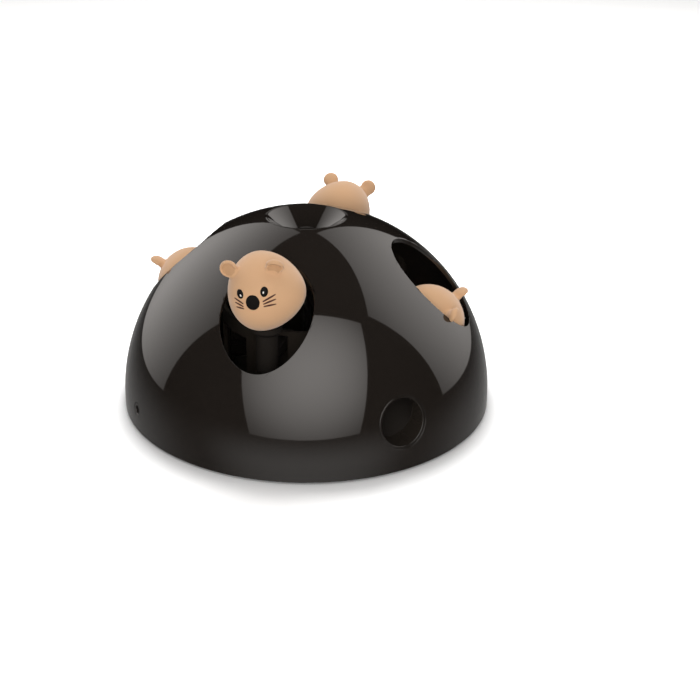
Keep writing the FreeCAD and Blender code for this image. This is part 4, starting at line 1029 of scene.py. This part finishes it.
    def bead(self, name: str, size: tuple[float, float], direction: Point, tilt: float,
             proud: float) -> bpy.types.Object:
        """An upright oval bead that stands a little out of the skin.

        Args:
            name: The piece's name.
            size: Half of its width and half of its height in mm.
            direction: From the egg's middle to the bead.
            tilt: How far its top leans, in degrees.
            proud: How far its crown stands out, in mm.

        Returns:
            The bead.
        """
        bpy.ops.mesh.primitive_uv_sphere_add(segments=48, ring_count=32, radius=MM)
        bead = added(name)
        with editing(bead):
            bpy.ops.mesh.select_all(action="SELECT")
            resize(proud + self.bead_sink, size[0] * self.bead_swell, size[1] * self.bead_swell)
            cut_off(mm(self.bead_foot, 0, 0), (1, 0, 0))
        lean = Matrix.Rotation(math.radians(tilt), 4, "X")
        bead.data.transform(Matrix.Translation(self.skin(direction, self.bead_sink))
                            @ self.stand(direction) @ lean)
        bead.data.transform(self.set_down())
        smooth(bead, 50)
        return bead

    def nose(self, palette: Palette) -> bpy.types.Object:
        """The black nose bead."""
        nose = self.bead("mouse_nose", self.nose_size, self.nose_direction, 0, self.nose_proud)
        palette.dress(nose, BLACK_BEAD)
        return nose

    def eyes(self, palette: Palette) -> bpy.types.Object:
        """Both eyes in one piece, each with a painted spark."""
        made = []
        for eye in self.sights:
            ball = self.bead("mouse_eye", (eye.half_width, eye.half_height), eye.direction,
                             eye.tilt, self.eye_proud)
            palette.dress(ball, EYE_GLOSS)
            dot = self.bead("eye_spark", self.spark_size, eye.spark, eye.tilt, self.spark_proud)
            palette.dress(dot, EYE_GLOSS, SPARK_WHITE)
            for face in dot.data.polygons:
                face.material_index = 1
            made += [ball, dot]
        return weld(*made)

    def whisker(self, points: tuple[Point, Point, Point]) -> bpy.types.Object:
        """One printed whisker: a thin tapered stroke that follows the skin.

        Args:
            points: Its two ends and the place midway that it passes, in mm.

        Returns:
            The stroke.
        """
        bpy.ops.mesh.primitive_cylinder_add(vertices=8, radius=self.whisker_radius * MM, depth=MM)
        stroke = added("mouse_whisker")
        with editing(stroke):
            pick(stroke, Pick.FACES, lambda face: face.normal.z > 0.9)
            for _ in range(self.whisker_steps - 1):
                bpy.ops.mesh.extrude_region_move(TRANSFORM_OT_translate={"value": mm(0, 0, 1)})
        first, middle, last = (Vector(point) for point in points)
        pull = middle * 2 - (first + last) / 2
        ahead = (last - first).normalized()
        (thin, gain), (run, start) = self.whisker_width, self.whisker_taper
        for vertex in stroke.data.vertices:
            share = (vertex.co.z / MM + 0.5) / self.whisker_steps
            spot = first * (1 - share) ** 2 + pull * (2 * share * (1 - share)) + last * share ** 2
            swell = math.sin(math.pi * min(share * run + start, 1.0))
            width = thin + gain * swell
            out = spot.normalized()
            side = out.cross(ahead).normalized()
            vertex.co = (self.skin(spot, self.whisker_sink) + side * (vertex.co.x * width)
                         + out * (vertex.co.y * self.whisker_height))
        return stroke

    def marks(self, palette: Palette) -> bpy.types.Object:
        """All six whiskers in one piece."""
        whiskers = weld(*[self.whisker(points) for points in self.whiskers])
        whiskers.name = "mouse_whiskers"
        with editing(whiskers):
            face_outwards()
        whiskers.data.transform(self.set_down())
        smooth(whiskers, 60)
        palette.dress(whiskers, WHISKER_INK)
        return whiskers

    def prepare(self, palette: Palette) -> None:
        """Models the head, nose, eyes and whiskers that all mice are copied from."""
        self.patterns = {
            "head": self.head(palette), "nose": self.nose(palette),
            "eyes": self.eyes(palette), "whiskers": self.marks(palette),
        }

    def clear(self) -> None:
        """Deletes the patterns once all mice are copied."""
        for pattern in self.patterns.values():
            bpy.data.objects.remove(pattern)


@dataclass
class Mouse:
    """One mouse on its plunger: its place on the ring, its height and its tilt at rest."""

    name: str
    angle: float
    height: float
    nod: float = 0.0
    turn: float = 0.0
    lean: float = 0.0
    bore: float = 3.5
    bore_foot: float = 30.0
    bore_top: float = 9.8

    def build(self, pattern: MouseHead) -> list[bpy.types.Object]:
        """Copies the patterned head to this mouse's place.

        Args:
            pattern: The head that all mice are copied from.

        Returns:
            The mouse's pieces.
        """
        rod = ring_spot(MOUSE_CIRCLE, self.angle)
        place = (Matrix.Translation(mm(*rod, self.height))
                 @ Matrix.Rotation(math.radians(self.angle - 90 + self.turn), 4, "Z")
                 @ Matrix.Rotation(math.radians(self.nod), 4, "Y")
                 @ Matrix.Rotation(math.radians(self.lean), 4, "X"))
        made = []
        for part, slot in (("head", Slot.MOUSE), ("nose", Slot.NOSE), ("eyes", Slot.EYE),
                           ("whiskers", Slot.NOSE)):
            piece = copied(pattern.patterns[part], f"{self.name}_mouse_{part}", place)
            if part == "head":
                carve(piece, upright("rod_bore", self.bore, self.height - self.bore_foot,
                                     self.height + self.bore_top, *rod))
                smooth(piece, 50)
            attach(piece, f"{self.name}_mouse")
            if part != "whiskers":
                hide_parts(f"{self.name}_{part}")
            made.append(piece)
        return made


# Studio and camera


@dataclass
class Softbox:
    """A panel that only the polish sees, with its bright middle and darker edges."""

    name: str
    azimuth: float
    elevation: float
    roll: float
    half_width: float
    half_height: float
    strength: float
    edge_strength: float
    hot_spot: tuple[float, float]
    spot_size: float = 1.6
    distance: float = 2.5

    def build(self) -> bpy.types.Object:
        """Stands the panel up, facing the toy.

        Returns:
            The panel, which is part of the studio and not of the toy.
        """
        turn, rise, roll = map(math.radians, (self.azimuth, self.elevation, self.roll))
        out = Vector((math.sin(turn) * math.cos(rise), -math.cos(turn) * math.cos(rise),
                      math.sin(rise)))
        right = Vector((math.cos(turn), math.sin(turn), 0))
        up = right.cross(-out)
        up = up if up.z > 0 else -up
        side = right * math.cos(roll) + up * math.sin(roll)
        tall = up * math.cos(roll) - right * math.sin(roll)
        bpy.ops.mesh.primitive_plane_add(size=2.0)
        panel = bpy.context.object
        panel.name = self.name
        axes = Matrix((side, tall, side.cross(tall))).transposed().to_4x4()
        size = Matrix.Diagonal((self.half_width * self.distance,
                                self.half_height * self.distance, 1, 1))
        panel.matrix_world = Matrix.Translation(out * self.distance) @ axes @ size
        panel.visible_camera = panel.visible_diffuse = panel.visible_shadow = False
        panel.visible_transmission = panel.visible_volume_scatter = False
        panel.data.materials.append(self.glow())
        return panel

    def glow(self) -> bpy.types.Material:
        """The panel's light, brightest at its hot spot."""
        made = bpy.data.materials.new(f"{self.name}_glow")
        tree = cleared(made)
        place = add_node(tree, "ShaderNodeTexCoord").outputs["Object"]
        centred = add_node(tree, "ShaderNodeMapping",
                           {"vector_type": "TEXTURE", "Location": (*self.hot_spot, 0.0),
                            "Scale": (self.spot_size,) * 3}, {"Vector": place})
        spot = add_node(tree, "ShaderNodeTexGradient", {"gradient_type": "SPHERICAL"},
                        {"Vector": centred.outputs[0]})
        ramp = add_node(tree, "ShaderNodeMapRange",
                        {"interpolation_type": "SMOOTHSTEP", "To Min": self.edge_strength,
                         "To Max": self.strength}, {"Value": spot.outputs[1]})
        light = add_node(tree, "ShaderNodeEmission", {"Color": linear("#fffaf6")},
                         {"Strength": ramp.outputs[0]})
        add_node(tree, "ShaderNodeOutputMaterial", links={"Surface": light.outputs[0]})
        return made


@dataclass
class Lamp:
    """A round soft lamp that faces the toy and that the polish doesn't show."""

    name: str
    place: Point
    size: float
    watts: float

    def build(self) -> None:
        """Hangs the lamp."""
        bpy.ops.object.light_add(type="AREA", location=self.place)
        lamp = bpy.context.object
        lamp.name = self.name
        lamp.data.shape = "DISK"
        lamp.data.size = self.size
        lamp.data.energy = self.watts
        lamp.rotation_euler = Vector(self.place).to_track_quat("Z", "Y").to_euler()
        lamp.visible_glossy = lamp.visible_camera = False


@dataclass
class Studio:
    """A pale floor, an even sky, two soft lamps and the panels that the polish shows.

    The polish sees a pale floor in the sky below the horizon, brightest towards the camera:
    horizon, near and far each give the range over which a part of it comes in.
    """

    sky: float = 0.33
    front: Point = (-0.4787, -0.878, 0.0)
    horizon: tuple[float, float] = (-0.03, -0.42)
    near: tuple[float, float] = (0.35, 0.98)
    near_glow: float = 0.66
    far: tuple[float, float] = (0.35, -0.35)
    far_glow: tuple[float, float] = (0.1, 0.3)
    floor_size: float = 9.0
    exposure: float = 1.65
    # Reach, range and darkest share of the painted contact shade that an ambient occlusion node lays
    # on the floor near the toy.
    painted_shade_reach: float = 0.035
    painted_shade_span: tuple[float, float] = (0.4, 0.9)
    painted_shade_floor: float = 0.45
    lamps: tuple[Lamp, ...] = (Lamp("top_lamp", (0.479, 0.878, 1.73), 1.2, 26.0),
                               Lamp("fill_lamp", (-0.9, -1.8, 0.85), 1.3, 25.0))
    softboxes: tuple[Softbox, ...] = (
        Softbox("right_softbox", 91.6, 28.9, -2.6, 0.723, 0.709, 2.25, 0.6, (-0.1, 0.1)),
        Softbox("left_softbox", -153.9, 27.7, 0.2, 0.716, 0.673, 1.95, 0.48, (0.0, -0.05)),
        Softbox("front_softbox", -29.9, 30.1, 0.6, 0.754, 0.753, 3.5, 0.55, (0.1, 0.1)),
    )

    def floor(self) -> bpy.types.Object:
        """The floor: white to the camera outside the toy's real shadow and a painted contact shade,
        and unseen by the polish.
        """
        bpy.ops.mesh.primitive_plane_add(size=self.floor_size)
        floor = bpy.context.object
        floor.name = "studio_floor"
        made = bpy.data.materials.new("pale_floor_paint")
        tree = cleared(made)
        ray = add_node(tree, "ShaderNodeLightPath")
        # Ambient occlusion darkens the floor's colour for the camera near the toy: painted contact
        # shade, added to the real shadow that the lamps cast.
        painted_contact_shade = add_node(tree, "ShaderNodeAmbientOcclusion", {"samples": 8, "Distance": self.painted_shade_reach})
        depth = add_node(tree, "ShaderNodeMapRange",
                         {"From Min": self.painted_shade_span[0], "From Max": self.painted_shade_span[1],
                          "To Min": self.painted_shade_floor * self.exposure, "To Max": self.exposure},
                         {"Value": painted_contact_shade.outputs["AO"]})
        tint = add_node(tree, "ShaderNodeMix", {"data_type": "RGBA", 6: linear("#e4e2e0")},
                        {0: ray.outputs["Is Camera Ray"], 7: depth.outputs[0]})
        paint = add_node(tree, "ShaderNodeBsdfDiffuse", links={"Color": tint.outputs[2]})
        add_node(tree, "ShaderNodeOutputMaterial", links={"Surface": paint.outputs[0]})
        floor.data.materials.append(made)
        floor.visible_glossy = False
        return floor

    def world(self) -> None:
        """The sky: even light on matt paint, white to the camera, a pale floor to the polish."""
        world = bpy.data.worlds.new("studio_sky")
        bpy.context.scene.world = world
        tree = cleared(world)
        way = add_node(tree, "ShaderNodeTexCoord").outputs["Generated"]
        axes = add_node(tree, "ShaderNodeSeparateXYZ", links={0: way})
        below = add_node(tree, "ShaderNodeMapRange",
                         {"interpolation_type": "SMOOTHSTEP", "From Min": self.horizon[0],
                          "From Max": self.horizon[1]}, {"Value": axes.outputs[2]})
        facing = add_node(tree, "ShaderNodeVectorMath",
                          {"operation": "DOT_PRODUCT", 1: self.front}, {0: way})
        near = add_node(tree, "ShaderNodeMapRange",
                        {"interpolation_type": "SMOOTHSTEP", "From Min": self.near[0],
                         "From Max": self.near[1], "To Max": self.near_glow},
                        {"Value": facing.outputs["Value"]})
        far = add_node(tree, "ShaderNodeMapRange",
                       {"interpolation_type": "SMOOTHSTEP", "From Min": self.far[0],
                        "From Max": self.far[1], "To Min": self.far_glow[0],
                        "To Max": self.far_glow[1]}, {"Value": facing.outputs["Value"]})
        floor = add_node(tree, "ShaderNodeMath", {"operation": "ADD"},
                         {0: near.outputs[0], 1: far.outputs[0]})
        pale = add_node(tree, "ShaderNodeMath", {"operation": "MULTIPLY"},
                        {0: below.outputs[0], 1: floor.outputs[0]})
        ray = add_node(tree, "ShaderNodeLightPath")
        seen = add_node(tree, "ShaderNodeMix", {"data_type": "FLOAT", 2: self.sky},
                        {0: ray.outputs["Is Glossy Ray"], 3: pale.outputs[0]})
        shown = add_node(tree, "ShaderNodeMix", {"data_type": "FLOAT", 3: 1.0},
                         {0: ray.outputs["Is Camera Ray"], 2: seen.outputs[0]})
        sky = add_node(tree, "ShaderNodeBackground", {"Color": linear("#fffdfb")},
                       {"Strength": shown.outputs[0]})
        add_node(tree, "ShaderNodeOutputWorld", links={"Surface": sky.outputs[0]})

    def build(self) -> None:
        """Sets up the floor, the sky, the lamps and the panels."""
        self.floor()
        self.world()
        for light in (*self.lamps, *self.softboxes):
            light.build()
        bpy.context.scene.view_settings.view_transform = "Standard"


@dataclass
class Camera:
    """The camera: a level tripod shot from the front left, looking down on the dome."""

    place: Point = (-0.3122, -0.5726, 0.3315)
    heading: tuple[float, float] = (0.4787, 0.878)
    pitch: float = 23.86
    lens: float = 55.8
    shift: tuple[float, float] = (0.0624, -0.0271)

    def build(self) -> None:
        """Sets the camera up and makes it the scene's own."""
        data = bpy.data.cameras.new("studio_camera")
        data.lens = self.lens
        data.sensor_width = 36.0
        data.shift_x, data.shift_y = self.shift
        data.clip_start = 0.01
        camera = bpy.data.objects.new("studio_camera", data)
        bpy.context.scene.collection.objects.link(camera)
        down = math.radians(self.pitch)
        level = Vector((*self.heading, 0)).normalized()
        look = level * math.cos(down) - Vector((0, 0, math.sin(down)))
        camera.location = self.place
        camera.rotation_euler = look.to_track_quat("-Z", "Y").to_euler()
        bpy.context.scene.camera = camera


def main() -> None:
    """Builds the studio, the dome, its fittings and the four mice, and dresses the works."""
    logging.basicConfig(level=logging.INFO, format="%(message)s")
    Camera().build()
    Studio().build()
    palette = Palette()
    palette.dress_nodes(NODES_OF_FINISH)
    dome = DomeShell()
    outlet = RoundCollar("treat_outlet_collar", bore=14.0, wall=1.5, height=dome.outlet_height,
                         seat=105.0).build(palette, SLICK_ABS)
    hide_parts("outlet_collar")
    made = [outlet, dome.build(palette), TreatFunnel().build(palette)]
    socket = RoundCollar("power_socket_collar", bore=2.7, wall=1.85, height=dome.jack_height,
                         seat=116.8, heading=-90, recess=0.15, end_round=0.5)
    made.append(socket.build(palette, BLACK_NYLON))
    pattern = MouseHead()
    pattern.prepare(palette)
    for mouse in (Mouse("front_left", -45, 102.7), Mouse("front_right", 45, 62.2, nod=18),
                  Mouse("rear_right", 135, 99.6),
                  Mouse("rear_left", 225, 69.2, nod=26, turn=-10, lean=6)):
        made.extend(mouse.build(pattern))
    pattern.clear()
    for piece in made:
        LOG.info("%s: %d faces", piece.name, len(piece.data.polygons))


if __name__ == "__main__":
    main()
